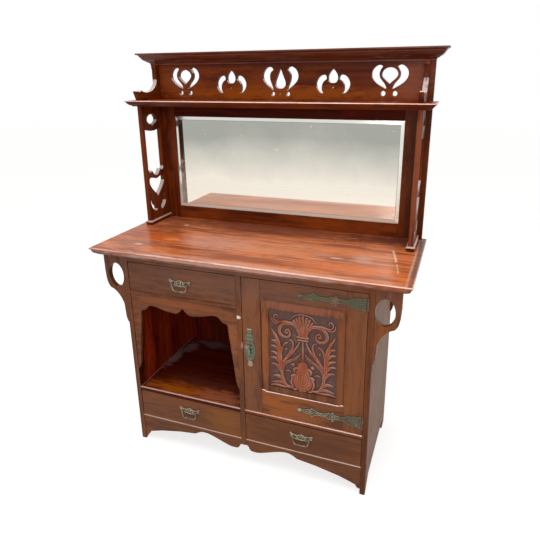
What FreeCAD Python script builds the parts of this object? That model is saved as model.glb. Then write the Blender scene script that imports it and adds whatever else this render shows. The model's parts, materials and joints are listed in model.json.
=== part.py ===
"""Chiffonier: a mirror-backed side cabinet, as a parametric document.

Millimetres, +X right, +Y to the back, +Z up. The origin is on the floor, at the
middle of the overall box. Every size is a named cell of the sheet "Sizes".
"""
import FreeCAD, Part
import math
import os
import re

VEC = FreeCAD.Vector

# ---------------------------------------------------------------- driving sizes

SIZES = [
    # lower case
    ("top_length", 1220.0), ("top_depth", 520.0), ("top_height", 878.0), ("top_thick", 30.0),
    ("front_overhang", 39.0), ("case_length", 980.0), ("case_depth", 455.0), ("end_thick", 20.0),
    ("divider_thick", 20.0), ("divider_shift", -1.0), ("board_thick", 16.0), ("nose_radius", 5.0),
    ("frieze_height", 23.0), ("frieze_depth", 20.0), ("top_drawer_space", 120.0),
    ("low_drawer_space", 123.0), ("bottom_level", 125.0), ("back_thick", 12.0),
    ("divider_foot", 94.0), ("apron_thick", 18.0), ("right_apron_drop", 87.0), ("left_apron_drop", 105.0),
    ("front_recess", 2.0), ("arch_recess", 3.0),
    ("arch_thick", 12.0), ("arch_height", 340.0),
    ("foot_rise", 48.0), ("foot_width", 67.0), ("foot_toe", 10.0), ("rear_foot_width", 55.0),
    # pierced brackets under the ends of the worktop
    ("bracket_thick", 20.0), ("bracket_reach", 87.0), ("bracket_drop", 289.0),
    ("eye_half_width", 33.0), ("eye_half_height", 50.0), ("eye_out", 35.0), ("eye_down", 86.0),
    # drawers
    ("drawer_gap", 1.2), ("run_gap", 0.3), ("head_gap", 2.7), ("drawer_front_thick", 20.0),
    ("drawer_side_thick", 10.0), ("drawer_bottom_thick", 6.0), ("groove_rise", 9.0),
    ("groove_depth", 5.0), ("drawer_back_gap", 18.0), ("drawer_side_drop", 6.0),
    # drawer handles
    ("top_handle_rise", 59.5), ("low_handle_rise", 71.5), ("plate_thick", 2.5),
    ("post_half_span", 26.5), ("post_radius", 4.0), ("post_reach", 14.0), ("pivot_reach", 10.0),
    ("pin_clearance", 0.05), ("bail_half", 34.5), ("bail_low_half", 25.0), ("bail_drop", 31.5),
    ("bail_radius", 2.2), ("bail_bend", 9.0), ("pivot_bend", 2.6), ("stud_radius", 2.0),
    ("plate_half_width", 47.0), ("plate_half_height", 16.0),
    # cupboard door
    ("door_gap", 1.5), ("door_head_gap", 3.0), ("door_thick", 20.0), ("stile_width", 72.0),
    ("top_rail_height", 74.0), ("bottom_rail_height", 103.0), ("shoulder_width", 28.0),
    ("shoulder_drop", 8.0), ("panel_thick", 12.0), ("panel_set_back", 3.5), ("panel_tongue", 8.0),
    ("field_width", 256.0), ("field_height", 320.0), ("field_rise", 24.0), ("field_sink", 5.0),
    ("strap_thick", 2.5), ("strap_length", 240.0), ("strap_half_width", 26.0), ("strap_inset", 5.0),
    ("upper_strap_level", 783.0), ("lower_strap_level", 319.0),
    # butt hinges
    ("hinge_length", 50.0), ("leaf_width", 16.0), ("leaf_thick", 1.5), ("knuckle_radius", 2.5),
    ("knuckle_clear", 0.3), ("hinge_pin_radius", 1.3), ("leaf_clear", 0.05),
    # lock and drop pull
    ("lock_level", 546.0), ("lock_width", 44.0), ("lock_height", 62.0), ("lock_thick", 11.0),
    ("bolt_width", 20.0), ("bolt_height", 18.0), ("bolt_thick", 5.0), ("bolt_travel", 8.0),
    ("bolt_clear", 0.3), ("pull_inset", 28.0), ("pull_plate_thick", 2.5), ("drop_level", 556.0),
    ("drop_length", 46.0), ("drop_radius", 6.0), ("drop_reach", 9.0), ("drop_pin_radius", 1.2),
    ("drop_eye_half", 3.0), ("lug_thick", 2.4), ("lug_radius", 3.2), ("pull_half_width", 22.0),
    ("pull_half_height", 83.0),
    # raised back
    ("frame_lap", 19.0), ("frame_thick", 20.0), ("frame_stile_width", 95.5), ("frame_head_width", 73.0),
    ("mirror_rise", 57.0), ("rebate_width", 7.0), ("lip_thick", 3.0), ("glass_thick", 6.0),
    ("bevel_width", 32.0), ("bevel_depth", 2.5), ("mirror_back_thick", 6.0),
    ("side_height", 507.5), ("side_thick", 18.5), ("side_depth", 156.5), ("fret_line", 70.5),
    ("moulding_height", 20.0), ("moulding_reach", 7.5),
    ("shelf_length", 1229.0), ("shelf_end", 42.5), ("shelf_depth", 181.0), ("shelf_thick", 23.5),
    ("gallery_height", 139.0), ("motif_spacing", 215.0), ("shelf_bracket_depth", 177.0),
    ("cornice_overhang", 44.5), ("cornice_reach", 49.0), ("cornice_height", 47.0),
]

DERIVED = [
    ("top_under", "top_height - top_thick"),
    ("top_front", "-top_depth / 2"),
    ("case_front", "front_overhang - top_depth / 2"),
    ("case_rear", "case_front + case_depth"),
    ("end_outer", "case_length / 2"),
    ("end_inner", "end_outer - end_thick"),
    ("divider_left", "divider_shift - divider_thick / 2"),
    ("divider_right", "divider_shift + divider_thick / 2"),
    ("left_bay", "divider_left + end_inner"),
    ("right_bay", "end_inner - divider_right"),
    ("frieze_under", "top_under - frieze_height"),
    ("upper_board_top", "frieze_under - top_drawer_space"),
    ("upper_board_under", "upper_board_top - board_thick"),
    ("bottom_under", "bottom_level - board_thick"),
    ("floor_under", "bottom_level + low_drawer_space"),
    ("floor_top", "floor_under + board_thick"),
    ("back_face", "case_rear - back_thick"),
    ("front_face", "case_front + front_recess"),
    ("drawer_rear", "back_face - drawer_back_gap"),
    ("door_left", "divider_right + door_gap"),
    ("door_right", "end_inner - door_gap"),
    ("door_foot", "floor_top + door_gap"),
    ("door_head", "frieze_under - door_head_gap"),
    ("panel_left", "door_left + stile_width"),
    ("panel_right", "door_right - stile_width"),
    ("panel_foot", "door_foot + bottom_rail_height"),
    ("panel_head", "door_head - top_rail_height"),
    ("panel_face", "front_face + panel_set_back"),
    ("hinge_line", "end_inner - door_gap / 2"),
    ("hinge_depth", "case_front - knuckle_radius - knuckle_clear"),
    ("door_rear", "front_face + door_thick"),
    ("bolt_front", "door_rear - lock_thick / 2 - bolt_thick / 2"),
    ("pull_line", "door_left + pull_inset"),
    ("drop_line", "front_face - pull_plate_thick - drop_reach"),
    ("side_outer", "shelf_length / 2 - shelf_end"),
    ("side_inner", "side_outer - side_thick"),
    ("frame_half", "side_outer + frame_lap"),
    ("frame_rear", "top_depth / 2"),
    ("frame_front", "frame_rear - frame_thick"),
    ("shelf_under", "top_height + side_height"),
    ("shelf_level", "shelf_under + shelf_thick"),
    ("cornice_under", "shelf_level + gallery_height"),
    ("cornice_length", "2 * frame_half + 2 * cornice_overhang"),
    ("mirror_half", "frame_half - frame_stile_width"),
    ("mirror_foot", "top_height + mirror_rise"),
    ("mirror_head", "shelf_level - frame_head_width"),
    ("glass_front", "frame_front + lip_thick"),
    ("glass_rear", "glass_front + glass_thick"),
    ("side_front", "frame_front - side_depth"),
    ("moulding_length", "side_thick + 2 * moulding_reach"),
    ("moulding_front", "side_front - moulding_reach"),
    ("shelf_front", "frame_front - shelf_depth"),
    ("cornice_front", "frame_front - cornice_reach"),
]

doc = FreeCAD.newDocument("Chiffonier")
sheet = doc.addObject("Spreadsheet::Sheet", "Sizes")
for row, (name, number) in enumerate(SIZES + DERIVED, start=1):
    cell = "B%d" % row
    sheet.set("A%d" % row, name)
    sheet.set(cell, str(number) if isinstance(number, float) else "=" + number)
    sheet.setAlias(cell, name)
doc.recompute()


def size(name):
    """The value of a named cell."""
    return float(getattr(sheet, name))


def link(formula):
    """A formula of cell names, written as an expression on the sheet."""
    return re.sub(r"\b([a-z]+(?:_[a-z]+)+)\b", r"Sizes.\1", formula)


def bind(thing, **formulas):
    """Bind properties of an object; place_x, place_y and place_z are its position."""
    for key, formula in formulas.items():
        target = key.replace("place_", "Placement.Base.")
        thing.setExpression(target, link(formula))
    return thing


# ------------------------------------------------------------ outlines in a plane
# An outline is a list of (kind, points) segments, each from its first point to its last.


def run(start, *steps):
    """Join steps such as ("line", p), ("arc", through, end) or ("curve", p, q, r)."""
    segments = []
    for kind, *points in steps:
        segments.append((kind, [start, *points]))
        start = points[-1]
    return segments


def polygon(*corners):
    """A closed outline of straight sides."""
    return run(corners[0], *[("line", corner) for corner in corners[1:]], ("line", corners[0]))


def moved(segments, right=0.0, up=0.0, wide=1.0, high=1.0):
    """An outline stretched by wide and high, then moved."""
    return [(kind, [(right + wide * u, up + high * v) for u, v in points]) for kind, points in segments]


def fitted(segments, wide, high):
    """An outline stretched so that it reaches as wide and as high as given."""
    corners = [point for kind, points in segments for point in points]
    return moved(segments, wide=wide / max(abs(u) for u, v in corners),
                 high=high / max(abs(v) for u, v in corners))


def flipped(segments):
    """The mirror image in the vertical axis, run backwards."""
    return [(kind, [(-u, v) for u, v in reversed(points)]) for kind, points in reversed(segments)]


def both_sides(half):
    """A half outline that starts and ends on the vertical axis, and its mirror image."""
    return half + flipped(half)


def circle(u, v, radius):
    """A full circle as one segment, given by the two ends of its level diameter."""
    return [("circle", [(u - radius, v), (u + radius, v)])]


def draw(segments):
    """The sketch geometry of an outline."""
    shapes = []
    for kind, points in segments:
        ends = [VEC(u, v, 0) for u, v in points]
        if kind == "line":
            shapes.append(Part.LineSegment(*ends))
        elif kind == "arc":
            shapes.append(Part.Arc(*ends))
        elif kind == "circle":
            centre = (ends[0] + ends[1]) / 2
            shapes.append(Part.Circle(centre, VEC(0, 0, 1), ends[0].distanceToPoint(centre)))
        elif kind == "ellipse":
            shapes.append(Part.Ellipse(ends[1], ends[2], ends[0]))
        else:
            curve = Part.BSplineCurve()
            curve.interpolate(ends)
            shapes.append(curve)
    return shapes


def rounded(corners, bends):
    """An open run of straight lines whose inner corners are arcs of the given radii."""
    path = [VEC(u, v, 0) for u, v in corners]
    steps = []
    for before, corner, after, bend in zip(path, path[1:], path[2:], bends):
        back = (before - corner).normalize()
        ahead = (after - corner).normalize()
        half_turn = back.getAngle(ahead) / 2
        tangent = bend / math.tan(half_turn)
        middle = (back + ahead).normalize()
        centre = corner + middle * (bend / math.sin(half_turn))
        enter = corner + back * tangent
        leave = corner + ahead * tangent
        through = centre - middle * bend
        steps.append(("line", (enter.x, enter.y)))
        steps.append(("arc", (through.x, through.y), (leave.x, leave.y)))
    steps.append(("line", corners[-1]))
    return run(corners[0], *steps)


# ------------------------------------------------------------- pieces of a document

sub_parts = []


def keep(thing, label):
    """Mark an object as a finished sub-part under its own name."""
    thing.Label = label
    sub_parts.append(thing)
    return thing


def board(label, x, y, z, kept=True):
    """A plain board between three pairs of faces."""
    box = doc.addObject("Part::Box", label)
    bind(box, Length="(%s) - (%s)" % (x[1], x[0]), Width="(%s) - (%s)" % (y[1], y[0]),
         Height="(%s) - (%s)" % (z[1], z[0]), place_x=x[0], place_y=y[0], place_z=z[0])
    return keep(box, label) if kept else box


def body_at(label, **place):
    """An empty body at a bound position."""
    return bind(doc.addObject("PartDesign::Body", label), **place)


def sketch_on(body, role, label, outlines):
    """A sketch of closed outlines on one of the body's own planes."""
    sketch = body.newObject("Sketcher::SketchObject", label)
    plane = next(feature for feature in body.Origin.OriginFeatures if feature.Role == role)
    sketch.AttachmentSupport = [(plane, "")]
    sketch.MapMode = "FlatFace"
    for outline in outlines:
        sketch.addGeometry(draw(outline), False)
    return sketch


def pad(body, role, outlines, length, name="Board", midplane=False, backward=False):
    """Pad outlines: towards +Y from XZ, +X from YZ and +Z from XY, unless backward."""
    feature = body.newObject("PartDesign::Pad", name)
    feature.Profile = sketch_on(body, role, name + "Outline", outlines)
    feature.Midplane = midplane
    feature.Reversed = (role == "XZ_Plane") != backward
    bind(feature, Length=length)
    body.Tip = feature
    return feature


def pocket(body, role, outlines, name="Cut", length=None, both_ways=False):
    """Cut outlines from the sketch plane along the way that pad() goes."""
    before = solid_volume(body)
    feature = body.newObject("PartDesign::Pocket", name)
    feature.Profile = sketch_on(body, role, name + "Outline", outlines)
    feature.Reversed = role != "XZ_Plane"
    if length is None:
        feature.Type = "ThroughAll"
        feature.Midplane = both_ways
    else:
        bind(feature, Length=length)
    body.Tip = feature
    if not solid_volume(body) < before:
        raise RuntimeError("%s of %s cuts nothing" % (name, body.Label))
    return feature


def solid_volume(body):
    """The body's volume after a recompute."""
    doc.recompute()
    return body.Shape.Volume


def cut(label, base, tools, kept=True):
    """Base less its tools; a tool may be a neighbour that is let in there."""
    result = base
    for number, tool in enumerate(tools):
        step = doc.addObject("Part::Cut", "%s_cut_%d" % (label, number))
        step.Base = result
        step.Tool = tool
        result = step
    return keep(result, label) if kept else result


def fuse(label, pieces, kept=True):
    """Pieces joined into one solid."""
    joined = doc.addObject("Part::MultiFuse", label)
    joined.Shapes = pieces
    joined.Refine = True
    return keep(joined, label) if kept else joined


def mirror_image(label, source, kept=True):
    """The mirror image of a piece in the middle plane X = 0."""
    image = doc.addObject("Part::Mirroring", label)
    image.Source = source
    image.Normal = VEC(1, 0, 0)
    return keep(image, label) if kept else image


def group(label, pieces):
    """Like pieces that stay separate solids under one name."""
    together = doc.addObject("Part::Compound", label)
    together.Links = pieces
    return keep(together, label)


def pair(label, source):
    """A piece and its mirror image under one name."""
    return group(label, [source, mirror_image(label + "_image", source, kept=False)])


def cylinder(label, radius, length, axis, x, y, z):
    """A cylinder along an axis, kept for a boolean."""
    rod = doc.addObject("Part::Cylinder", label)
    rod.Placement.Rotation = FreeCAD.Rotation(VEC(0, 0, 1), axis)
    return bind(rod, Radius=radius, Height=length, place_x=x, place_y=y, place_z=z)


# ------------------------------------------------------------------ moulded boards


def moulded_board(label, length, front, rear, foot, height, edge, middle="0", kept=True):
    """A board with its edge moulding worked on the front and returned round both ends.

    edge(high) gives the moulding from the underside to the top as a run of
    (distance out from the deepest member, height); its first and last points lie
    on the two faces of the board.
    """
    high = size(height)
    moulding = edge(high)
    reach = max(u for kind, points in moulding for u, v in points)
    start = moulding[0][1][0]
    end = moulding[-1][1][-1]
    deep = size(rear) - size(front)
    half = size(length) / 2
    body = body_at(label, place_x=middle, place_y=front, place_z=foot)
    nose = [(kind, [(reach - u, v) for u, v in points]) for kind, points in moulding]
    section = nose + run((reach - end[0], high), ("line", (deep, high)), ("line", (deep, 0.0)),
                         ("line", (reach - start[0], 0.0)))
    pad(body, "YZ_Plane", [section], length, midplane=True)
    spare = reach
    waste = [(kind, [(half - reach + u, v) for u, v in points]) for kind, points in moulding]
    waste += run((half - reach + end[0], high), ("line", (half - reach + end[0], high + spare)),
                 ("line", (half + spare, high + spare)), ("line", (half + spare, -spare)),
                 ("line", (half - reach + start[0], -spare)), ("line", (half - reach + start[0], 0.0)))
    pocket(body, "XZ_Plane", [waste, flipped(waste)], "Ends", both_ways=True)
    return keep(body, label) if kept else body


def worktop_edge(high):
    """Quarter round under a half-round nosing."""
    return run((0.0, 0.0), ("line", (0.0, 2.0)), ("arc", (11.0, high - 20.0), (15.0, high - 9.0)),
               ("line", (16.0, high - 8.0)), ("arc", (20.0, high - 4.0), (16.0, high)))


def shelf_edge(high):
    """Cove under a thin half-round lip."""
    return run((0.0, 0.0), ("line", (0.0, 3.0)), ("arc", (11.0, high - 15.0), (17.0, high - 7.0)),
               ("line", (18.0, high - 6.0)), ("arc", (21.0, high - 3.0), (18.0, high)))


def cornice_edge(high):
    """Fillet, small cavetto, fillet, flat ovolo, fillet, cavetto and top fillet."""
    return run((0.0, 0.0), ("line", (0.0, 3.0)), ("arc", (2.4, 8.2), (7.5, 11.0)),
               ("line", (10.0, 11.0)), ("line", (10.0, 13.5)), ("arc", (22.0, 20.5), (30.5, 32.0)),
               ("line", (33.0, 32.0)), ("line", (33.0, high - 12.5)),
               ("arc", (36.5, high - 8.2), (44.0, high - 6.0)), ("line", (44.0, high)))


def foot_edge(high):
    """Plain foot, shallow cove and a lip whose top falls away in a flat ovolo."""
    reach = size("moulding_reach")
    lip = high - 8.0
    return run((reach - 3.0, 0.0), ("line", (reach - 3.0, 4.0)),
               ("arc", (reach - 2.4, lip - 4.0), (reach, lip)), ("line", (reach, lip + 1.5)),
               ("arc", (reach - 2.2, high - 2.4), (1.0, high)))


# ------------------------------------------------------------------- lower case


def end_panels():
    """Two end panels, cut away below between the feet; the right one takes the hinges."""
    deep = size("case_depth")
    toe = size("foot_toe")
    width = size("foot_width")
    rise = size("foot_rise")
    rear = size("rear_foot_width")
    outline = run((0.0, 0.0), ("line", (toe, 0.0)), ("line", (width - 6.0, rise - 4.0)),
                  ("line", (width, rise)), ("line", (deep - rear - rise / 2, rise)),
                  ("arc", (deep - rear - 7.0, rise - 7.0), (deep - rear, rise / 2)),
                  ("line", (deep - rear, 0.0)), ("line", (deep, 0.0)), ("line", (deep, size("top_under"))),
                  ("line", (0.0, size("top_under"))), ("line", (0.0, 0.0)))
    body = body_at("left_end_panel", place_x="-end_outer", place_y="case_front")
    pad(body, "YZ_Plane", [outline], "end_thick")
    keep(body, "left_end_panel")
    image = mirror_image("right_end_blank", body, kept=False)
    cut("right_end_panel", image, leaf_plates("case"))


# The height of the room in which the bolt runs, in the lock and in the divider.
BOLT_ROOM = ("lock_level - bolt_height / 2 - bolt_clear", "lock_level + bolt_height / 2 + bolt_clear")


def centre_divider():
    """Upright between the bays, notched for the frieze rail and mortised for the bolt."""
    deep = size("back_face") - size("case_front")
    foot = size("divider_foot")
    head = size("top_under")
    notch = size("frieze_depth")
    shoulder = size("frieze_under")
    outline = polygon((0.0, foot), (deep, foot), (deep, head), (notch, head), (notch, shoulder),
                      (0.0, shoulder))
    body = body_at("divider_blank", place_x="divider_left", place_y="case_front")
    pad(body, "YZ_Plane", [outline], "divider_thick")
    mortise = board("bolt_mortise", ("divider_right - bolt_travel - bolt_clear", "divider_right"),
                    ("bolt_front - bolt_clear", "bolt_front + bolt_thick + bolt_clear"),
                    BOLT_ROOM, kept=False)
    cut("centre_divider", body, [mortise])


def nosed_board(label, left, right, foot):
    """A through board whose front edge is rounded above and below."""
    nose = size("nose_radius")
    thick = size("board_thick")
    deep = size("back_face") - size("case_front")
    corner = nose * (1 - 0.5 ** 0.5)
    outline = run((nose, 0.0), ("arc", (corner, corner), (0.0, nose)), ("line", (0.0, thick - nose)),
                  ("arc", (corner, thick - corner), (nose, thick)), ("line", (deep, thick)),
                  ("line", (deep, 0.0)), ("line", (nose, 0.0)))
    body = body_at(label, place_x=left, place_y="case_front", place_z=foot)
    pad(body, "YZ_Plane", [outline], "(%s) - (%s)" % (right, left))
    keep(body, label)


ARCH_EDGE = run((0.0, -32.0), ("curve", (9.0, -42.0), (19.0, -52.0), (36.0, -58.0)),
                ("curve", (60.0, -56.0), (96.0, -49.0), (122.0, -42.0), (146.0, -42.0)),
                ("curve", (156.0, -49.0), (165.0, -59.0), (172.0, -64.0)), ("line", (181.0, -66.0)),
                ("arc", (188.0, -71.0), (190.0, -84.0)), ("line", (216.0, -306.0)),
                ("arc", (219.0, -320.0), (229.5, -340.0)))


def scalloped_arch():
    """Fretted board round the open compartment, with a cusp in the middle and two legs."""
    half = size("left_bay") / 2
    edge = fitted(ARCH_EDGE, half, size("arch_height"))
    outline = edge + run((half, -size("arch_height")), ("line", (half, 0.0)), ("line", (-half, 0.0)),
                         ("line", (-half, -size("arch_height")))) + flipped(edge)
    body = body_at("scalloped_arch", place_x="(divider_left - end_inner) / 2",
                   place_y="case_front + arch_recess", place_z="upper_board_under")
    pad(body, "XZ_Plane", [outline], "arch_thick")
    keep(body, "scalloped_arch")


# Heights are given from the underside of the bottom board down.
APRON_EDGE = run((0.0, -16.0), ("curve", (5.0, -19.0), (13.0, -33.0), (27.0, -41.0)),
                 ("curve", (57.0, -39.0), (70.0, -35.0), (114.0, -19.0), (156.0, -7.0), (181.0, -7.0)),
                 ("curve", (198.0, -14.0), (212.0, -23.0)), ("line", (288.0, -33.0)),
                 ("line", (380.0, -52.0)), ("line", (424.0, -66.0)))
# At the foot of the end panel the right apron ends in a step and the left one in a splay.
STEPPED_FOOT = run((424.0, -66.0), ("line", (436.0, -71.0)),
                   ("curve", (444.0, -75.0), (448.0, -83.0), (453.0, -86.0), (461.0, -87.0)))
SPLAYED_FOOT = run((424.0, -66.0), ("line", (434.0, -69.0)),
                   ("curve", (445.0, -83.0), (454.0, -96.0), (461.0, -105.0)))


def aprons():
    """Shaped aprons below the bottom boards."""
    for label, span, sign, place, foot in (("right_apron", "right_bay", 1, "divider_right", STEPPED_FOOT),
                                           ("left_apron", "left_bay", -1, "divider_left", SPLAYED_FOOT)):
        reach = size(span)
        edge = fitted(APRON_EDGE + foot, reach, size(label + "_drop"))
        outline = edge + run(edge[-1][1][-1], ("line", (reach, 0.0)), ("line", (0.0, 0.0)),
                             ("line", edge[0][1][0]))
        body = body_at(label, place_x=place, place_y="case_front + arch_recess", place_z="bottom_under")
        pad(body, "XZ_Plane", [outline if sign > 0 else flipped(outline)], "apron_thick")
        keep(body, label)


BRACKET_EDGE = run((87.0, 0.0), ("line", (87.0, -71.0)),
                   ("curve", (85.0, -99.0), (79.0, -127.0), (67.0, -144.0)),
                   ("curve", (50.0, -152.0), (34.0, -168.0), (22.0, -187.0), (14.0, -207.0)),
                   ("line", (11.0, -258.0)), ("arc", (7.0, -276.0), (0.0, -289.0)))


def corner_brackets():
    """Pierced brackets that carry the ends of the worktop, in front and behind."""
    edge = fitted(BRACKET_EDGE, size("bracket_reach"), size("bracket_drop"))
    outline = edge + run((0.0, -size("bracket_drop")), ("line", (0.0, 0.0)),
                         ("line", (size("bracket_reach"), 0.0)))
    out = size("eye_out")
    down = -size("eye_down")
    eye = [("ellipse", [(out, down), (out, down + size("eye_half_height")),
                        (out + size("eye_half_width"), down)])]
    for label, place in (("front_brackets", "case_front"), ("rear_brackets", "case_rear - bracket_thick")):
        body = body_at(label + "_right", place_x="end_outer", place_y=place, place_z="top_under")
        pad(body, "XZ_Plane", [outline], "bracket_thick")
        pocket(body, "XZ_Plane", [eye], "Eye")
        pair(label, body)


def lower_case():
    """The fixed boards of the lower case."""
    moulded_board("worktop", "top_length", "top_front", "frame_rear", "top_under", "top_thick",
                  worktop_edge)
    end_panels()
    centre_divider()
    board("frieze_rail", ("-end_inner", "end_inner"), ("case_front", "case_front + frieze_depth"),
          ("frieze_under", "top_under"))
    nosed_board("upper_dustboard", "-end_inner", "divider_left", "upper_board_under")
    nosed_board("compartment_floor", "-end_inner", "divider_left", "floor_under")
    nosed_board("cupboard_floor", "divider_right", "end_inner", "floor_under")
    nosed_board("left_bottom_board", "-end_inner", "divider_left", "bottom_under")
    nosed_board("right_bottom_board", "divider_right", "end_inner", "bottom_under")
    scalloped_arch()
    aprons()
    board("back_board", ("-end_inner", "end_inner"), ("back_face", "case_rear"),
          ("divider_foot", "top_under"))
    corner_brackets()


# --------------------------------------------------------------------- hinges


HINGES = (("upper", "upper_strap_level"), ("lower", "lower_strap_level"))
leaves = {}


def leaf_plates(side):
    """The two flat leaves let into one side of the hinge gap."""
    if side not in leaves:
        near, far = ("hinge_line + leaf_clear", "hinge_line + leaf_clear + leaf_thick")
        if side == "door":
            near, far = ("hinge_line - leaf_clear - leaf_thick", "hinge_line - leaf_clear")
        leaves[side] = [board("%s_%s_plate" % (where, side), (near, far),
                              ("case_front", "case_front + leaf_width"),
                              ("%s - hinge_length / 2" % level, "%s + hinge_length / 2" % level), kept=False)
                        for where, level in HINGES]
    return leaves[side]


def knuckle(label, side, foot, head):
    """A length of knuckle with the arm that joins it to its leaf."""
    barrel = cylinder(label + "_barrel", "knuckle_radius", "%s - (%s)" % (head, foot), VEC(0, 0, 1),
                      "hinge_line", "hinge_depth", foot)
    reach = ("hinge_line + leaf_clear", "hinge_line + leaf_clear + leaf_thick")
    if side == "door":
        reach = ("hinge_line - leaf_clear - leaf_thick", "hinge_line - leaf_clear")
    arm = board(label + "_arm", reach, ("hinge_depth", "case_front"), (foot, head), kept=False)
    return [barrel, arm]


def butt_hinges():
    """Two hinges: leaves on the case, leaves on the door, and loose pins."""
    thirds = {"case": ((-1 / 2, -1 / 6), (1 / 6, 1 / 2)), "door": ((-1 / 6, 1 / 6),)}
    bores = []
    pins = []
    for where, level in HINGES:
        foot = "%s - hinge_length / 2" % level
        bores.append(cylinder(where + "_bore", "hinge_pin_radius + pin_clearance", "hinge_length",
                              VEC(0, 0, 1), "hinge_line", "hinge_depth", foot))
        pins.append(cylinder(where + "_hinge_pin", "hinge_pin_radius", "hinge_length", VEC(0, 0, 1),
                             "hinge_line", "hinge_depth", foot))
    for side in ("case", "door"):
        finished = []
        for number, (where, level) in enumerate(HINGES):
            parts = [leaf_plates(side)[number]]
            for low, high in thirds[side]:
                spare = "" if side == "case" else " + knuckle_clear"
                less = "" if side == "case" else " - knuckle_clear"
                parts += knuckle("%s_%s_knuckle_%d" % (where, side, len(parts)), side,
                                 "%s + hinge_length * (%.6f)%s" % (level, low, spare),
                                 "%s + hinge_length * (%.6f)%s" % (level, high, less))
            leaf = fuse("%s_%s_leaf" % (where, side), parts, kept=False)
            finished.append(cut("%s_%s_bored" % (where, side), leaf, [bores[number]], kept=False))
        group("%s_hinge_leaves" % side, finished)
    group("hinge_pins", pins)


# --------------------------------------------------------------------- drawers

HANDLE_PLATE = run((0.0, 14.0), ("curve", (8.0, 10.0), (17.0, 7.0)), ("curve", (30.0, 9.0), (47.0, 15.5)),
                   ("curve", (46.0, 4.0), (43.0, -5.0)), ("curve", (34.0, -5.0), (28.0, -8.0), (24.0, -14.0)),
                   ("arc", (18.0, -15.0), (13.0, -11.0)), ("arc", (7.0, -16.0), (0.0, -13.0)))


def handle(label, middle, level):
    """A cast plate with two posts, and the bail that hangs between them."""
    plate = body_at(label + "_plate_blank", place_x=middle, place_y="front_face", place_z=level)
    edge = fitted(HANDLE_PLATE, size("plate_half_width"), size("plate_half_height"))
    pad(plate, "XZ_Plane", [both_sides(edge)], "plate_thick", "Plate", backward=True)
    span = size("post_half_span")
    posts = [circle(span, 0.0, size("post_radius")), circle(-span, 0.0, size("post_radius"))]
    pad(plate, "XZ_Plane", posts, "post_reach", "Posts", backward=True)
    studs = [circle(span, 0.0, size("stud_radius")), circle(-span, 0.0, size("stud_radius"))]
    pad(plate, "XZ_Plane", studs, "drawer_front_thick", "Studs")
    bore = cylinder(label + "_pivot_bore", "bail_radius + pin_clearance", "4 * post_half_span",
                    VEC(1, 0, 0), "%s - 2 * post_half_span" % middle, "front_face - pivot_reach", level)
    cut(label + "_handle_plate", plate, [bore])
    bail(label + "_bail", "%s - post_half_span + post_radius" % middle, level)


def bail(label, start, level):
    """One rod bent to a bow, with its ends turned in as pivots. The run starts in the left post."""
    body = body_at(label, place_x=start, place_y="front_face - pivot_reach", place_z=level)
    span = 2 * (size("post_half_span") - size("post_radius"))
    out = size("bail_half") - span / 2
    low = size("bail_low_half") - span / 2
    drop = size("bail_drop")
    spine = rounded([(0.0, 0.0), (-out, 0.0), (-low, -drop), (span + low, -drop), (span + out, 0.0),
                     (span, 0.0)],
                    [size("pivot_bend"), size("bail_bend"), size("bail_bend"), size("pivot_bend")])
    feature = body.newObject("PartDesign::AdditivePipe", "Bow")
    feature.Profile = sketch_on(body, "YZ_Plane", "Section", [circle(0.0, 0.0, size("bail_radius"))])
    feature.Spine = sketch_on(body, "XZ_Plane", "Spine", [spine])
    body.Tip = feature
    keep(body, label)


def drawer(label, left, right, level, space, handle_rise):
    """One drawer: lapped front, two sides, back and a bottom held in grooves."""
    inner = ("%s + drawer_gap + drawer_side_thick" % left, "%s - drawer_gap - drawer_side_thick" % right)
    foot = "%s + run_gap" % level
    head = "%s + %s - head_gap" % (level, space)
    behind = "front_face + drawer_front_thick"
    bottom = board(label + "_bottom", (inner[0] + " - groove_depth", inner[1] + " + groove_depth"),
                   (behind + " - groove_depth", "drawer_rear"),
                   (foot + " + groove_rise", foot + " + groove_rise + drawer_bottom_thick"))
    middle = "((%s) + (%s)) / 2" % (left, right)
    handle_level = "%s + %s" % (level, handle_rise)
    front = board(label + "_front_blank", ("%s + drawer_gap" % left, "%s - drawer_gap" % right),
                  ("front_face", behind), (foot, head), kept=False)
    holes = [cylinder("%s_stud_hole_%s" % (label, sign), "stud_radius + pin_clearance", "drawer_front_thick",
                      VEC(0, 1, 0), "%s %s post_half_span" % (middle, sign), "front_face", handle_level)
             for sign in "+-"]
    cut(label + "_front", front, [bottom] + holes)
    sides = []
    for number, (near, far) in enumerate((("%s + drawer_gap" % left, inner[0]),
                                          (inner[1], "%s - drawer_gap" % right))):
        side = board("%s_side_blank_%d" % (label, number), (near, far), (behind, "drawer_rear"),
                     (foot, head + " - drawer_side_drop"), kept=False)
        sides.append(cut("%s_side_%d" % (label, number), side, [bottom], kept=False))
    group(label + "_sides", sides)
    board(label + "_back", inner, ("drawer_rear - drawer_side_thick", "drawer_rear"),
          (foot + " + groove_rise + drawer_bottom_thick", head + " - 2 * drawer_side_drop"))
    handle(label, middle, handle_level)


# ------------------------------------------------------------------ cupboard door

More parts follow.
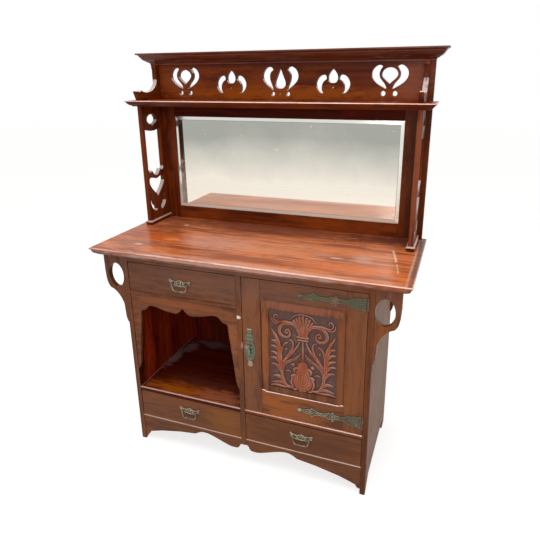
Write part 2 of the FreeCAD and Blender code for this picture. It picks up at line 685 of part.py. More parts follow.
STRAP_HALF = run((0.0, 26.0), ("arc", (16.0, 21.0), (28.0, 24.0)), ("arc", (38.0, 18.5), (50.0, 20.5)),
                 ("curve", (56.0, 14.0), (66.0, 9.5), (82.0, 8.5)),
                 ("curve", (94.0, 9.5), (102.0, 13.0), (107.0, 20.0)),
                 ("arc", (114.0, 13.5), (124.0, 15.0)), ("curve", (132.0, 10.0), (146.0, 8.0), (162.0, 8.0)),
                 ("curve", (172.0, 11.0), (181.0, 16.0), (188.0, 20.0)),
                 ("arc", (197.0, 12.5), (210.0, 11.5)),
                 ("arc", (218.0, 8.0), (224.0, 6.5)), ("curve", (233.0, 10.0), (243.0, 7.5), (247.0, 0.0)))
PULL_HALF = run((0.0, 76.0), ("line", (10.5, 76.0)), ("curve", (7.0, 70.0), (6.0, 64.0), (9.0, 57.0)),
                ("curve", (15.0, 49.0), (17.5, 38.0), (13.5, 25.0)),
                ("curve", (14.5, 17.0), (18.0, 10.0), (21.0, 2.0)),
                ("curve", (22.0, -10.0), (21.0, -25.0), (17.0, -38.0)),
                ("curve", (14.0, -47.0), (9.5, -55.0), (8.0, -62.0)),
                ("curve", (8.5, -69.0), (10.5, -74.0), (8.0, -79.0)), ("curve", (4.5, -82.0), (0.0, -83.0)))


def straps():
    """Two decorative strap plates on the face of the door."""
    top = moved(fitted(STRAP_HALF, size("strap_length"), size("strap_half_width")), wide=-1.0)
    below = [(kind, points[::-1]) for kind, points in moved(top[::-1], high=-1.0)]
    half = size("strap_half_width")
    outline = top + below + run((0.0, -half), ("line", (0.0, half)))
    for where, level in HINGES:
        label = where + "_strap_plate"
        body = body_at(label, place_x="door_right - strap_inset", place_y="front_face", place_z=level)
        pad(body, "XZ_Plane", [outline], "strap_thick", backward=True)
        keep(body, label)


def drop_pull():
    """Escutcheon plate with two lugs and a pin, and the drop that swings on it."""
    plate = body_at("pull_plate_blank", place_x="pull_line", place_y="front_face", place_z="lock_level")
    edge = fitted(PULL_HALF, size("pull_half_width"), size("pull_half_height"))
    pad(plate, "XZ_Plane", [both_sides(edge)], "pull_plate_thick", backward=True)
    parts = [plate]
    for number, sign in enumerate((-1, 1)):
        near = "pull_line + (%d) * (drop_eye_half + knuckle_clear)" % sign
        far = "pull_line + (%d) * (drop_eye_half + knuckle_clear + lug_thick)" % sign
        sides = (near, far) if sign > 0 else (far, near)
        parts.append(board("lug_arm_%d" % number, sides, ("drop_line", "front_face - pull_plate_thick"),
                           ("drop_level - lug_radius / 2", "drop_level + lug_radius / 2"), kept=False))
        parts.append(cylinder("lug_eye_%d" % number, "lug_radius", "lug_thick", VEC(1, 0, 0), sides[0],
                              "drop_line", "drop_level"))
    parts.append(cylinder("drop_pin", "drop_pin_radius", "2 * (drop_eye_half + knuckle_clear + lug_thick)",
                          VEC(1, 0, 0), "pull_line - drop_eye_half - knuckle_clear - lug_thick", "drop_line",
                          "drop_level"))
    fuse("pull_plate", parts)
    drop = body_at("drop_shank", place_x="pull_line", place_y="drop_line", place_z="drop_level")
    length = size("drop_length")
    radius = size("drop_radius")
    profile = run((0.0, 0.0), ("line", (2.0, 0.0)), ("line", (1.6, -0.3 * length)),
                  ("arc", (radius, -0.72 * length), (2.0, -0.93 * length)), ("line", (2.4, -length)),
                  ("line", (0.0, -length)), ("line", (0.0, 0.0)))
    feature = drop.newObject("PartDesign::Revolution", "Drop")
    sketch = sketch_on(drop, "XZ_Plane", "DropProfile", [profile])
    feature.Profile = sketch
    feature.ReferenceAxis = (sketch, ["V_Axis"])
    feature.Angle = 360
    drop.Tip = feature
    eye = cylinder("drop_eye", "lug_radius", "2 * drop_eye_half", VEC(1, 0, 0), "pull_line - drop_eye_half",
                   "drop_line", "drop_level")
    bore = cylinder("drop_bore", "drop_pin_radius + pin_clearance", "2 * drop_eye_half", VEC(1, 0, 0),
                    "pull_line - drop_eye_half", "drop_line", "drop_level")
    whole = fuse("drop_whole", [drop, eye], kept=False)
    cut("drop_pull", whole, [bore])


def lock():
    """Lock let into the back of the stile, with a bolt that shoots into the divider."""
    case = board("lock_blank", ("door_left", "door_left + lock_width"),
                 ("door_rear - lock_thick", "door_rear"),
                 ("lock_level - lock_height / 2", "lock_level + lock_height / 2"), kept=False)
    cavity = board("bolt_cavity", ("door_left", "door_left + bolt_width + bolt_clear"),
                   ("bolt_front - bolt_clear", "bolt_front + bolt_thick + bolt_clear"),
                   BOLT_ROOM, kept=False)
    cut("door_lock", case, [cavity])
    board("lock_bolt", ("door_left", "door_left + bolt_width"), ("bolt_front", "bolt_front + bolt_thick"),
          ("lock_level - bolt_height / 2", "lock_level + bolt_height / 2"))
    return case


def door():
    """Framed door with a sunk carved panel, its lock and its fittings."""
    lock_case = lock()
    grooved = board("panel_groove", ("panel_left - panel_tongue", "panel_right + panel_tongue"),
                    ("panel_face", "panel_face + panel_thick"),
                    ("panel_foot - panel_tongue", "panel_head + panel_tongue"), kept=False)
    depth = ("front_face", "door_rear")
    height = ("door_foot", "door_head")
    lock_stile = board("lock_stile_blank", ("door_left", "panel_left"), depth, height, kept=False)
    cut("lock_stile", lock_stile, [grooved, lock_case])
    hinge_stile = board("hinge_stile_blank", ("panel_right", "door_right"), depth, height, kept=False)
    cut("hinge_stile", hinge_stile, [grooved] + leaf_plates("door"))
    width = size("panel_right") - size("panel_left")
    half = width / 2
    shoulder = size("shoulder_width")
    drop = size("shoulder_drop")
    middle = "(panel_left + panel_right) / 2"
    for label, tall, place, small in (("door_top_rail", "top_rail_height", "panel_head", -drop),
                                      ("door_bottom_rail", "bottom_rail_height", "panel_foot", drop / 2)):
        edge = run((0.0, 0.0), ("line", (half - shoulder, 0.0)),
                   ("curve", (half - 0.6 * shoulder, 0.2 * small), (half - 0.4 * shoulder, 0.8 * small),
                    (half - 0.15 * shoulder, small)), ("line", (half, small)))
        far = size(tall) if small < 0 else -size(tall)
        outline = edge + run((half, small), ("line", (half, far)), ("line", (-half, far)),
                             ("line", (-half, small))) + flipped(edge)
        body = body_at(label + "_blank", place_x=middle, place_y="front_face", place_z=place)
        pad(body, "XZ_Plane", [outline], "door_thick")
        cut(label, body, [grooved])
    carved_panel(middle, width)
    straps()
    drop_pull()


def carved_panel(middle, width):
    """Panel with a sunk field for the carving."""
    half = width / 2 + size("panel_tongue")
    tall = size("panel_head") - size("panel_foot") + 2 * size("panel_tongue")
    body = body_at("carved_panel", place_x=middle, place_y="panel_face",
                   place_z="panel_foot - panel_tongue")
    pad(body, "XZ_Plane", [polygon((-half, 0.0), (half, 0.0), (half, tall), (-half, tall))], "panel_thick")
    low = size("field_rise") + size("panel_tongue")
    side = size("field_width") / 2
    high = low + size("field_height")
    pocket(body, "XZ_Plane", [polygon((-side, low), (side, low), (side, high), (-side, high))], "Field",
           length="field_sink")
    keep(body, "carved_panel")


# --------------------------------------------------------------------- raised back

SPADE = run((0.0, -34.0), ("curve", (15.0, -36.5), (29.0, -44.0), (36.0, -57.0), (29.0, -68.5),
                           (14.0, -75.0), (0.0, -84.0)))
SLOT = run((0.0, -104.0), ("curve", (25.0, -102.0), (42.0, -98.0), (57.0, -97.0)), ("line", (57.0, -254.0)),
           ("curve", (56.0, -268.0), (48.0, -277.0), (38.0, -276.0), (31.0, -271.5)),
           ("line", (24.0, -280.0)), ("arc", (19.0, -287.0), (0.0, -295.0)))
HEART = run((0.0, -311.0), ("curve", (20.0, -306.0), (38.0, -302.0), (54.0, -306.0)),
            ("curve", (55.0, -322.0), (47.0, -340.0), (27.0, -362.0), (0.0, -388.0)))
LEAF = run((45.0, -384.0), ("curve", (57.0, -400.0), (56.0, -421.0), (47.0, -437.0), (28.0, -450.5)),
           ("curve", (16.0, -447.0), (16.0, -437.0), (27.0, -425.0), (32.0, -406.0), (45.0, -384.0)))
# The height of the panel, and of the gallery, for which the frets are drawn.
FRETTED_HEIGHT = 507.5
GALLERY_HEIGHT = 139.0


def side_panels():
    """Pierced panels between the worktop and the shelf."""
    deep = size("side_depth")
    tall = size("side_height")
    body = body_at("left_side_panel", place_x="-side_outer", place_y="side_front", place_z="shelf_under")
    pad(body, "YZ_Plane", [polygon((0.0, -tall), (deep, -tall), (deep, 0.0), (0.0, 0.0))], "side_thick")
    frets = [both_sides(half) for half in (SPADE, SLOT, HEART)] + [LEAF, flipped(LEAF)]
    high = tall / FRETTED_HEIGHT
    pocket(body, "YZ_Plane", [moved(fret, right=size("fret_line"), high=high) for fret in frets], "Fretwork")
    keep(body, "left_side_panel")
    mirror_image("right_side_panel", body)


def foot_mouldings():
    """Mouldings mitred round the front and both faces of each side panel."""
    block = moulded_board("moulding_block", "moulding_length", "moulding_front", "frame_front", "top_height",
                          "moulding_height", foot_edge, middle="(side_inner + side_outer) / 2", kept=False)
    panel = board("panel_footprint", ("side_inner", "side_outer"), ("side_front", "frame_front"),
                  ("top_height", "top_height + moulding_height"), kept=False)
    pair("foot_mouldings", cut("right_foot_moulding", block, [panel], kept=False))


def back_frame():
    """Rebated frame of two stiles and two rails, with the mirror and its backboard."""
    rebate = board("mirror_rebate", ("-mirror_half - rebate_width", "mirror_half + rebate_width"),
                   ("glass_front", "frame_rear"),
                   ("mirror_foot - rebate_width", "mirror_head + rebate_width"), kept=False)
    depth = ("frame_front", "frame_rear")
    stile = board("right_frame_stile", ("mirror_half", "frame_half"), depth, ("top_height", "shelf_level"),
                  kept=False)
    pair("back_frame_stiles", cut("right_frame_stile_rebated", stile, [rebate], kept=False))
    for label, foot, head in (("back_frame_bottom_rail", "top_height", "mirror_foot"),
                              ("back_frame_top_rail", "mirror_head", "shelf_level")):
        rail = board(label + "_blank", ("-mirror_half", "mirror_half"), depth, (foot, head), kept=False)
        cut(label, rail, [rebate])
    mirror_plate()
    board("mirror_backboard", ("-mirror_half - rebate_width", "mirror_half + rebate_width"),
          ("glass_rear", "glass_rear + mirror_back_thick"),
          ("mirror_foot - rebate_width", "mirror_head + rebate_width"))


def mirror_plate():
    """Mirror glass with a wide bevel worked round its front."""
    low = ("-mirror_half - rebate_width", "mirror_foot - rebate_width")
    high = ("mirror_half + rebate_width", "mirror_head + rebate_width")
    bevel = doc.addObject("Part::Wedge", "mirror_bevel")
    bind(bevel, Xmin=low[0] + " + bevel_width", Xmax=high[0] + " - bevel_width",
         Zmin=low[1] + " + bevel_width", Zmax=high[1] + " - bevel_width", Ymin="glass_front",
         X2min=low[0], X2max=high[0], Z2min=low[1], Z2max=high[1], Ymax="glass_front + bevel_depth")
    sheet_glass = board("mirror_sheet", (low[0], high[0]), ("glass_front + bevel_depth", "glass_rear"),
                        (low[1], high[1]), kept=False)
    fuse("mirror_glass", [bevel, sheet_glass])


DROP = run((0.0, 118.0), ("curve", (14.0, 115.5), (26.0, 106.0), (30.0, 95.0), (22.0, 80.0), (0.0, 60.0)))
OUTER_CRESCENT = run((27.0, 121.0), ("curve", (33.0, 126.0), (41.0, 127.0), (59.0, 117.0), (67.5, 100.0),
                                     (64.5, 82.0), (51.0, 65.5), (32.0, 53.0), (15.5, 44.0)),
                     ("arc", (12.0, 45.0), (12.5, 49.0)),
                     ("curve", (25.5, 69.5), (37.0, 86.0), (38.0, 100.0), (33.5, 112.0), (27.0, 121.0)))
ALMOND = run((0.0, 116.0), ("curve", (12.0, 104.0), (19.5, 86.0), (17.0, 72.0), (0.0, 64.5)))
SPRIG = run((36.0, 94.0), ("curve", (52.0, 89.0), (63.0, 76.0), (67.5, 60.0), (62.0, 42.0), (50.0, 29.0),
                           (38.0, 27.0)),
            ("curve", (44.0, 39.0), (44.0, 53.0), (38.0, 68.0), (27.0, 77.0)),
            ("arc", (25.0, 86.0), (36.0, 94.0)))
TEARDROP = run((0.0, 124.0), ("curve", (5.0, 112.0), (12.0, 94.0), (21.0, 72.0), (22.5, 58.0), (14.0, 47.0),
                              (0.0, 44.0)))
MIDDLE_CRESCENT = run((29.0, 114.0), ("curve", (34.0, 122.0), (42.0, 125.5), (54.0, 124.0), (67.0, 114.0),
                                      (75.6, 91.0), (70.0, 72.0), (58.0, 59.0), (45.0, 49.0), (33.0, 38.0)),
                      ("arc", (29.5, 38.5), (29.5, 42.0)),
                      ("curve", (34.0, 55.0), (39.5, 68.0), (43.0, 82.0), (42.5, 97.0), (29.0, 114.0)))
# Round holes of each motif: distance from its middle line, height and radius.
OUTER_DOTS = ((22.0, 26.0, 9.0),)
INNER_DOTS = ((0.0, 48.0, 3.0),)
MIDDLE_DOTS = ((32.0, 23.0, 8.0), (0.0, 25.0, 3.0))


def fret_motif(whole, side, dots, at):
    """One fretted motif: a middle hole, a pair of side holes and round dots in pairs or in the middle."""
    holes = [both_sides(whole), side, flipped(side)]
    for u, v, radius in dots:
        holes.append(circle(u, v, radius))
        if u > 0:
            holes.append(circle(-u, v, radius))
    return [moved(hole, right=at, high=size("gallery_height") / GALLERY_HEIGHT) for hole in holes]


def gallery():
    """Upright board above the shelf, fretted with five motifs."""
    half = size("frame_half")
    tall = size("gallery_height")
    body = body_at("gallery_board", place_y="frame_front", place_z="shelf_level")
    pad(body, "XZ_Plane", [polygon((-half, 0.0), (half, 0.0), (half, tall), (-half, tall))], "frame_thick")
    step = size("motif_spacing")
    pocket(body, "XZ_Plane", fret_motif(TEARDROP, MIDDLE_CRESCENT, MIDDLE_DOTS, 0.0), "MiddleMotif")
    for name, holes in (("InnerMotifs", fret_motif(ALMOND, SPRIG, INNER_DOTS, step)),
                        ("OuterMotifs", fret_motif(DROP, OUTER_CRESCENT, OUTER_DOTS, 2 * step))):
        pocket(body, "XZ_Plane", holes + [flipped(hole) for hole in holes], name)
    keep(body, "gallery_board")


SHELF_BRACKET = run((0.0, 0.0), ("line", (-160.0, 0.0)), ("line", (-177.0, 37.0)), ("line", (-151.0, 33.0)),
                    ("line", (-144.0, 40.0)), ("curve", (-126.0, 34.0), (-108.0, 31.0), (-86.0, 33.0)),
                    ("curve", (-64.0, 38.0), (-44.0, 50.0), (-30.0, 66.0), (-26.0, 88.0)),
                    ("line", (-26.0, 125.0)), ("line", (-32.0, 125.0)), ("line", (-32.0, 139.0)),
                    ("line", (0.0, 139.0)), ("line", (0.0, 0.0)))


def upper_back():
    """Shelf, its brackets and the cornice."""
    moulded_board("shelf", "shelf_length", "shelf_front", "frame_front", "shelf_under", "shelf_thick",
                  shelf_edge)
    body = body_at("right_shelf_bracket", place_x="side_inner", place_y="frame_front", place_z="shelf_level")
    outline = fitted(SHELF_BRACKET, size("shelf_bracket_depth"), size("gallery_height"))
    pad(body, "YZ_Plane", [outline], "side_thick")
    pair("shelf_brackets", body)
    moulded_board("cornice", "cornice_length", "cornice_front", "frame_rear", "cornice_under",
                  "cornice_height", cornice_edge)


# ------------------------------------------------------------------------ build

lower_case()
drawer("top_drawer", "-end_inner", "divider_left", "upper_board_top", "top_drawer_space",
       "top_handle_rise")
drawer("left_drawer", "-end_inner", "divider_left", "bottom_level", "low_drawer_space",
       "low_handle_rise")
drawer("right_drawer", "divider_right", "end_inner", "bottom_level", "low_drawer_space",
       "low_handle_rise")
door()
butt_hinges()
side_panels()
foot_mouldings()
back_frame()
gallery()
upper_back()
doc.recompute()

for thing in doc.Objects:
    if "Invalid" in thing.State or "Error" in thing.State:
        raise RuntimeError("%s failed: %s" % (thing.Label, thing.State))
for piece in sub_parts:
    if piece.Shape.isNull() or not piece.Shape.isValid() or not piece.Shape.Solids:
        raise RuntimeError("%s has no valid shape" % piece.Label)

os.makedirs("parts", exist_ok=True)
for piece in sub_parts:
    piece.Shape.exportStep(os.path.join("parts", piece.Label + ".step"))
    print("%-26s %d solid(s), %.0f mm3" % (piece.Label, len(piece.Shape.Solids), piece.Shape.Volume))
print("%d sub-parts" % len(sub_parts))
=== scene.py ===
"""Chiffonier: the looks of a mirror-backed cabinet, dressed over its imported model.

Metres, +X right, +Y to the back, +Z up. Laid out as an add-on and run as a script.
"""
import json
import math

import bmesh
import bpy
import numpy as np
from bpy.props import FloatProperty, FloatVectorProperty, PointerProperty
from mathutils import Matrix, Vector


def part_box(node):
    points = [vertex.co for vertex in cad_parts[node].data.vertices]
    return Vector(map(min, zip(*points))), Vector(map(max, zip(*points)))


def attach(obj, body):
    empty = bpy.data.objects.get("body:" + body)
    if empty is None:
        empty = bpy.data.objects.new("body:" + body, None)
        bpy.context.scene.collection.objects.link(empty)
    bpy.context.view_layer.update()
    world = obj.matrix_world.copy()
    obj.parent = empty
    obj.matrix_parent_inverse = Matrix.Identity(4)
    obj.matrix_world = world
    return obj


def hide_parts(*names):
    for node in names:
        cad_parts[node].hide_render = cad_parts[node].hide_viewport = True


bl_info = {
    "name": "Chiffonier",
    "version": (1, 0, 0),
    "blender": (4, 5, 0),
    "location": "View3D > Sidebar > Chiffonier",
    "description": "Dresses the boards, carving, mirror and brasses of a mirror-backed chiffonier",
    "category": "Object",
}

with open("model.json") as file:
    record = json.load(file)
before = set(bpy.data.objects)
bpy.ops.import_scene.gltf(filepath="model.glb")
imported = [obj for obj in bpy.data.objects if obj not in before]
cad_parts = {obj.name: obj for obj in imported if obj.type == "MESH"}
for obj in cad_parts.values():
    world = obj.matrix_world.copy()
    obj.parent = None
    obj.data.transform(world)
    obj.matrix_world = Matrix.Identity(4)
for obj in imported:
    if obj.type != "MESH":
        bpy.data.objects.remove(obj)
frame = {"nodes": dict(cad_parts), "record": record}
NODES = frame["nodes"]
BODY_OF = {node: body for body, nodes in frame["record"]["behaviour"]["bodies"].items() for node in nodes}
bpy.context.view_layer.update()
MM = 0.001

# ---------------------------------------------------------------- colours and sizes


def linear(code):
    """Turn an sRGB hex value such as "#8b5536" into linear red, green, blue and alpha."""
    parts = [int(code[i:i + 2], 16) / 255 for i in (1, 3, 5)]
    return tuple(c / 12.92 if c <= 0.04045 else ((c + 0.055) / 1.055) ** 2.4 for c in parts) + (1.0,)


def colour(name, description, code):
    """A colour that the user may change."""
    return FloatVectorProperty(name=name, description=description, default=linear(code), subtype="COLOR",
                               size=4, min=0.0, max=1.0)


def length(name, description, millimetres):
    """A length that the user may change."""
    return FloatProperty(name=name, description=description, default=millimetres * MM, min=0.0,
                         unit="LENGTH", precision=5)


class ChiffonierFinishes(bpy.types.PropertyGroup):
    """Colours of the wood, metal and glass."""
    case_pale: colour("Case, pale grain", "Pale figure of the polished fronts", "#7f4a2c")
    case_deep: colour("Case, deep grain", "Dark figure of the polished fronts", "#56301d")
    case_blush: colour("Case, blush", "Where the stain of the fronts has gone orange", "#8f4f24")
    top_pale: colour("Worktop, pale grain", "Faded figure of the worktop", "#d07a4c")
    top_deep: colour("Worktop, deep grain", "Dark figure of the worktop", "#93451f")
    top_blush: colour("Worktop, blush", "Where the polish of the worktop is rubbed thin", "#d6763e")
    back_pale: colour("Raised back, pale grain", "Pale figure of the gallery and the frame", "#6f2e0c")
    back_deep: colour("Raised back, deep grain", "Dark figure of the gallery and the frame", "#4a1806")
    back_blush: colour("Raised back, blush", "Where the stain of the raised back glows orange", "#8a3d10")
    cornice_pale: colour("Cornice, pale grain", "Pale figure of the cornice", "#7a3e28")
    cornice_deep: colour("Cornice, deep grain", "Dark figure of the cornice", "#4d1c10")
    inside_pale: colour("Inside, pale grain", "Pale figure of the open compartment", "#6a1c0c")
    inside_deep: colour("Inside, deep grain", "Dark figure of the open compartment", "#380a05")
    wall_pale: colour("Inside wall, pale grain", "Red stain of the side of the open compartment", "#a4340f")
    wall_deep: colour("Inside wall, deep grain", "Dark streaks of that side", "#551006")
    # Painted highlight: this pale pink stands for the sky caught on the upward nosings as well as for worn
    # polish.
    rubbed: colour("Rubbed nosing", "Polish worn thin along the nosings, pink as a painted highlight", "#f2cfc3")
    # Painted highlight: this pale grey is old wax and the light caught on the upward faces of the lower
    # nosings.
    waxed_nosing_highlight: colour("Waxed nosing", "Old wax gone grey on the lower nosings, with a painted highlight", "#bd9c90")
    sawn_edge_highlight: colour("Sawn edge", "Painted highlight on the upward cut edges of the fretwork", "#cbb9b6")
    carved_pale: colour("Carving, high places", "Rubbed orange wood of the relief", "#a5522b")
    carved_deep: colour("Carving, ground", "Dull dark ground behind the relief", "#5b3c33")
    carved_bloom_and_highlight: colour("Carving, bloom and highlight", "Grey bloom of old wax and painted highlight on the edges of the relief", "#b08574")
    pine_pale: colour("Lining, pale grain", "Pale figure of the drawer linings", "#a9794a")
    pine_deep: colour("Lining, deep grain", "Dark figure of the drawer linings", "#714523")
    brass: colour("Aged brass", "Bare metal of the drawer handles", "#bcae97")
    tarnish: colour("Tarnish", "Dark oxide in the hollows of the brass", "#3f3325")
    verdigris: colour("Verdigris", "Green patina on the straps and the escutcheon", "#575138")
    silver: colour("Silvering", "Tint of the mirror low down, where its painted reflection is brightest", "#f8f2e4")
    painted_reflection_head: colour("Mirror head, painted reflection", "Tint of the mirror at its head, a darker painted reflection", "#a9aaa3")


class ChiffonierSizes(bpy.types.PropertyGroup):
    """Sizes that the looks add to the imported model."""
    arris: length("Arris", "Width of the worn rounding along each sharp edge", 1.2)
    nosing: length("Rail nosing", "Rounding of the top edge of the door's bottom rail", 4.5)
    grain_width: length("Grain width", "Width of one streak of the figure", 9.0)
    grain_length: length("Grain length", "Length of one streak of the figure", 160.0)
    carving_pitch: length("Carving pitch", "Spacing of the points of the carved relief", 1.1)
    casting_pitch: length("Casting pitch", "Spacing of the points of the cast relief", 0.8)


# ---------------------------------------------------------------------- materials


def add(tree, kind, values=None, stops=None, **settings):
    """Add a node with its settings; values sets its inputs or links sockets into them."""
    node = tree.nodes.new(kind)
    for name, value in settings.items():
        setattr(node, name, value)
    for key, value in (values or {}).items():
        if isinstance(value, bpy.types.NodeSocket):
            tree.links.new(value, node.inputs[key])
        else:
            node.inputs[key].default_value = value
    for number, (place, shade) in enumerate(stops or ()):
        elements = node.color_ramp.elements
        element = elements[number] if number < 2 else elements.new(place)
        element.position = place
        element.color = shade
    return node


# Sockets of the node that mixes colours or vectors, and of the one that maps a range.
SHARE, UNDER, OVER, MIXED = 0, 6, 7, 2
STRAIGHT, BENT, BENT_OUT = 4, 5, 1
FROM_LOW, FROM_HIGH, TO_LOW, TO_HIGH = 1, 2, 3, 4
BLACK, WHITE = (0.0, 0.0, 0.0, 1.0), (1.0, 1.0, 1.0, 1.0)
AXES = {"X": 0, "Y": 1, "Z": 2}


def cells(millimetres):
    """The scale of a pattern whose cells have this size."""
    return 1.0 / (millimetres * MM)


# Patterns that don't follow the width of the grain.
FIGURE_SWAY = cells(200.0)
DULL_PATCHES = cells(71.43)
STAIN_FRINGE = cells(13.33)
WAX_PATCHES = cells(38.46)
CHISEL_MARKS = cells(3.03)
TARNISH_PATCHES = cells(14.29)
SILVER_PATCHES = cells(200.0)
SILVER_FLECKS = cells(16.67)
# Pores and casting sand are finer than this in life, and are drawn as coarse as they need to show.
CARVED_PORES = cells(5.263)
CASTING_GRIT = cells(2.381)


def new_material(name):
    """A named material with an empty node tree."""
    material = bpy.data.materials.new(name)
    material.use_nodes = True
    material.node_tree.nodes.clear()
    return material, material.node_tree


def overlaid(tree, finish, shade, value, low, high, strength=1.0):
    """Lay a shade over a finish where a value goes from low to high, up to a strength."""
    share = add(tree, "ShaderNodeMapRange", {"Value": value, FROM_LOW: low, FROM_HIGH: high,
                                             TO_HIGH: strength})
    return add(tree, "ShaderNodeMix", {SHARE: share.outputs[0], UNDER: finish, OVER: shade},
               data_type="RGBA").outputs[MIXED]


# A mark's edge is moved by a noise this strong, and fades over this range of the sum, counted in radii.
FRINGE = 2.4
FADE_OUTER, FADE_INNER = 2.35, 1.7
# A mark's edge and the flushes run along the grain: they are squeezed this much before they are drawn.
FRINGE_SQUEEZE = 0.22
FLUSH_SQUEEZE = 0.3


def scars_and_painted_light(tree, place, finish, marks, along=None):
    """Lay marks of wear, stains, painted shade and painted highlights over a finish, their edges ragged along
    the grain; middle and radii in millimetres.
    """
    drawn_out = [1.0, 1.0, 1.0]
    if along:
        drawn_out[AXES[along]] = FRINGE_SQUEEZE
    strands = add(tree, "ShaderNodeMapping", {"Vector": place, "Scale": drawn_out}).outputs[0]
    ragged = add(tree, "ShaderNodeTexNoise", {"Vector": strands, "Scale": STAIN_FRINGE, "Detail": 4.0,
                                              "Roughness": 0.65}).outputs[0]
    for middle, radii, code, strength in marks:
        scale = [1.0 / (radius * MM) for radius in radii]
        shift = [-at * MM * size for at, size in zip(middle, scale)]
        local = add(tree, "ShaderNodeMapping", {"Vector": place, "Location": shift, "Scale": scale})
        away = add(tree, "ShaderNodeVectorMath", {0: local.outputs[0]}, operation="LENGTH").outputs["Value"]
        edge = add(tree, "ShaderNodeMath", {0: ragged, 1: FRINGE, 2: away}, operation="MULTIPLY_ADD")
        finish = overlaid(tree, finish, linear(code), edge.outputs[0], FADE_OUTER, FADE_INNER, strength)
    return finish


# The painted shade at the rim of a sunk panel is full this near its frame and gone this far from it, in
# millimetres.
RIM_SHADE_FULL, RIM_SHADE_GONE = 1.5, 4.5


def rim_shaded(tree, place, finish, middle, half):
    """Paint shade on the rim of a sunk panel, where it lies in the recess of its frame."""
    spot = add(tree, "ShaderNodeSeparateXYZ", {"Vector": place})
    shares = []
    for axis, at, reach in (("X", middle[0], half[0]), ("Z", middle[1], half[1])):
        off = add(tree, "ShaderNodeMath", {0: spot.outputs[axis], 1: at * MM}, operation="SUBTRACT")
        away = add(tree, "ShaderNodeMath", {0: off.outputs[0]}, operation="ABSOLUTE").outputs[0]
        rim = add(tree, "ShaderNodeMapRange", {"Value": away, FROM_LOW: (reach - RIM_SHADE_GONE) * MM,
                                               FROM_HIGH: (reach - RIM_SHADE_FULL) * MM, TO_HIGH: 0.8})
        shares.append(rim.outputs[0])
    dark = add(tree, "ShaderNodeMath", {0: shares[0], 1: shares[1]}, operation="MAXIMUM").outputs[0]
    return add(tree, "ShaderNodeMix", {SHARE: dark, UNDER: finish, OVER: linear("#3a1c10")},
               data_type="RGBA").outputs[MIXED]


# The streaks, the figure and the rings add up to about this where the grain is neither pale nor deep.
MIDDLE_TONE = 0.96


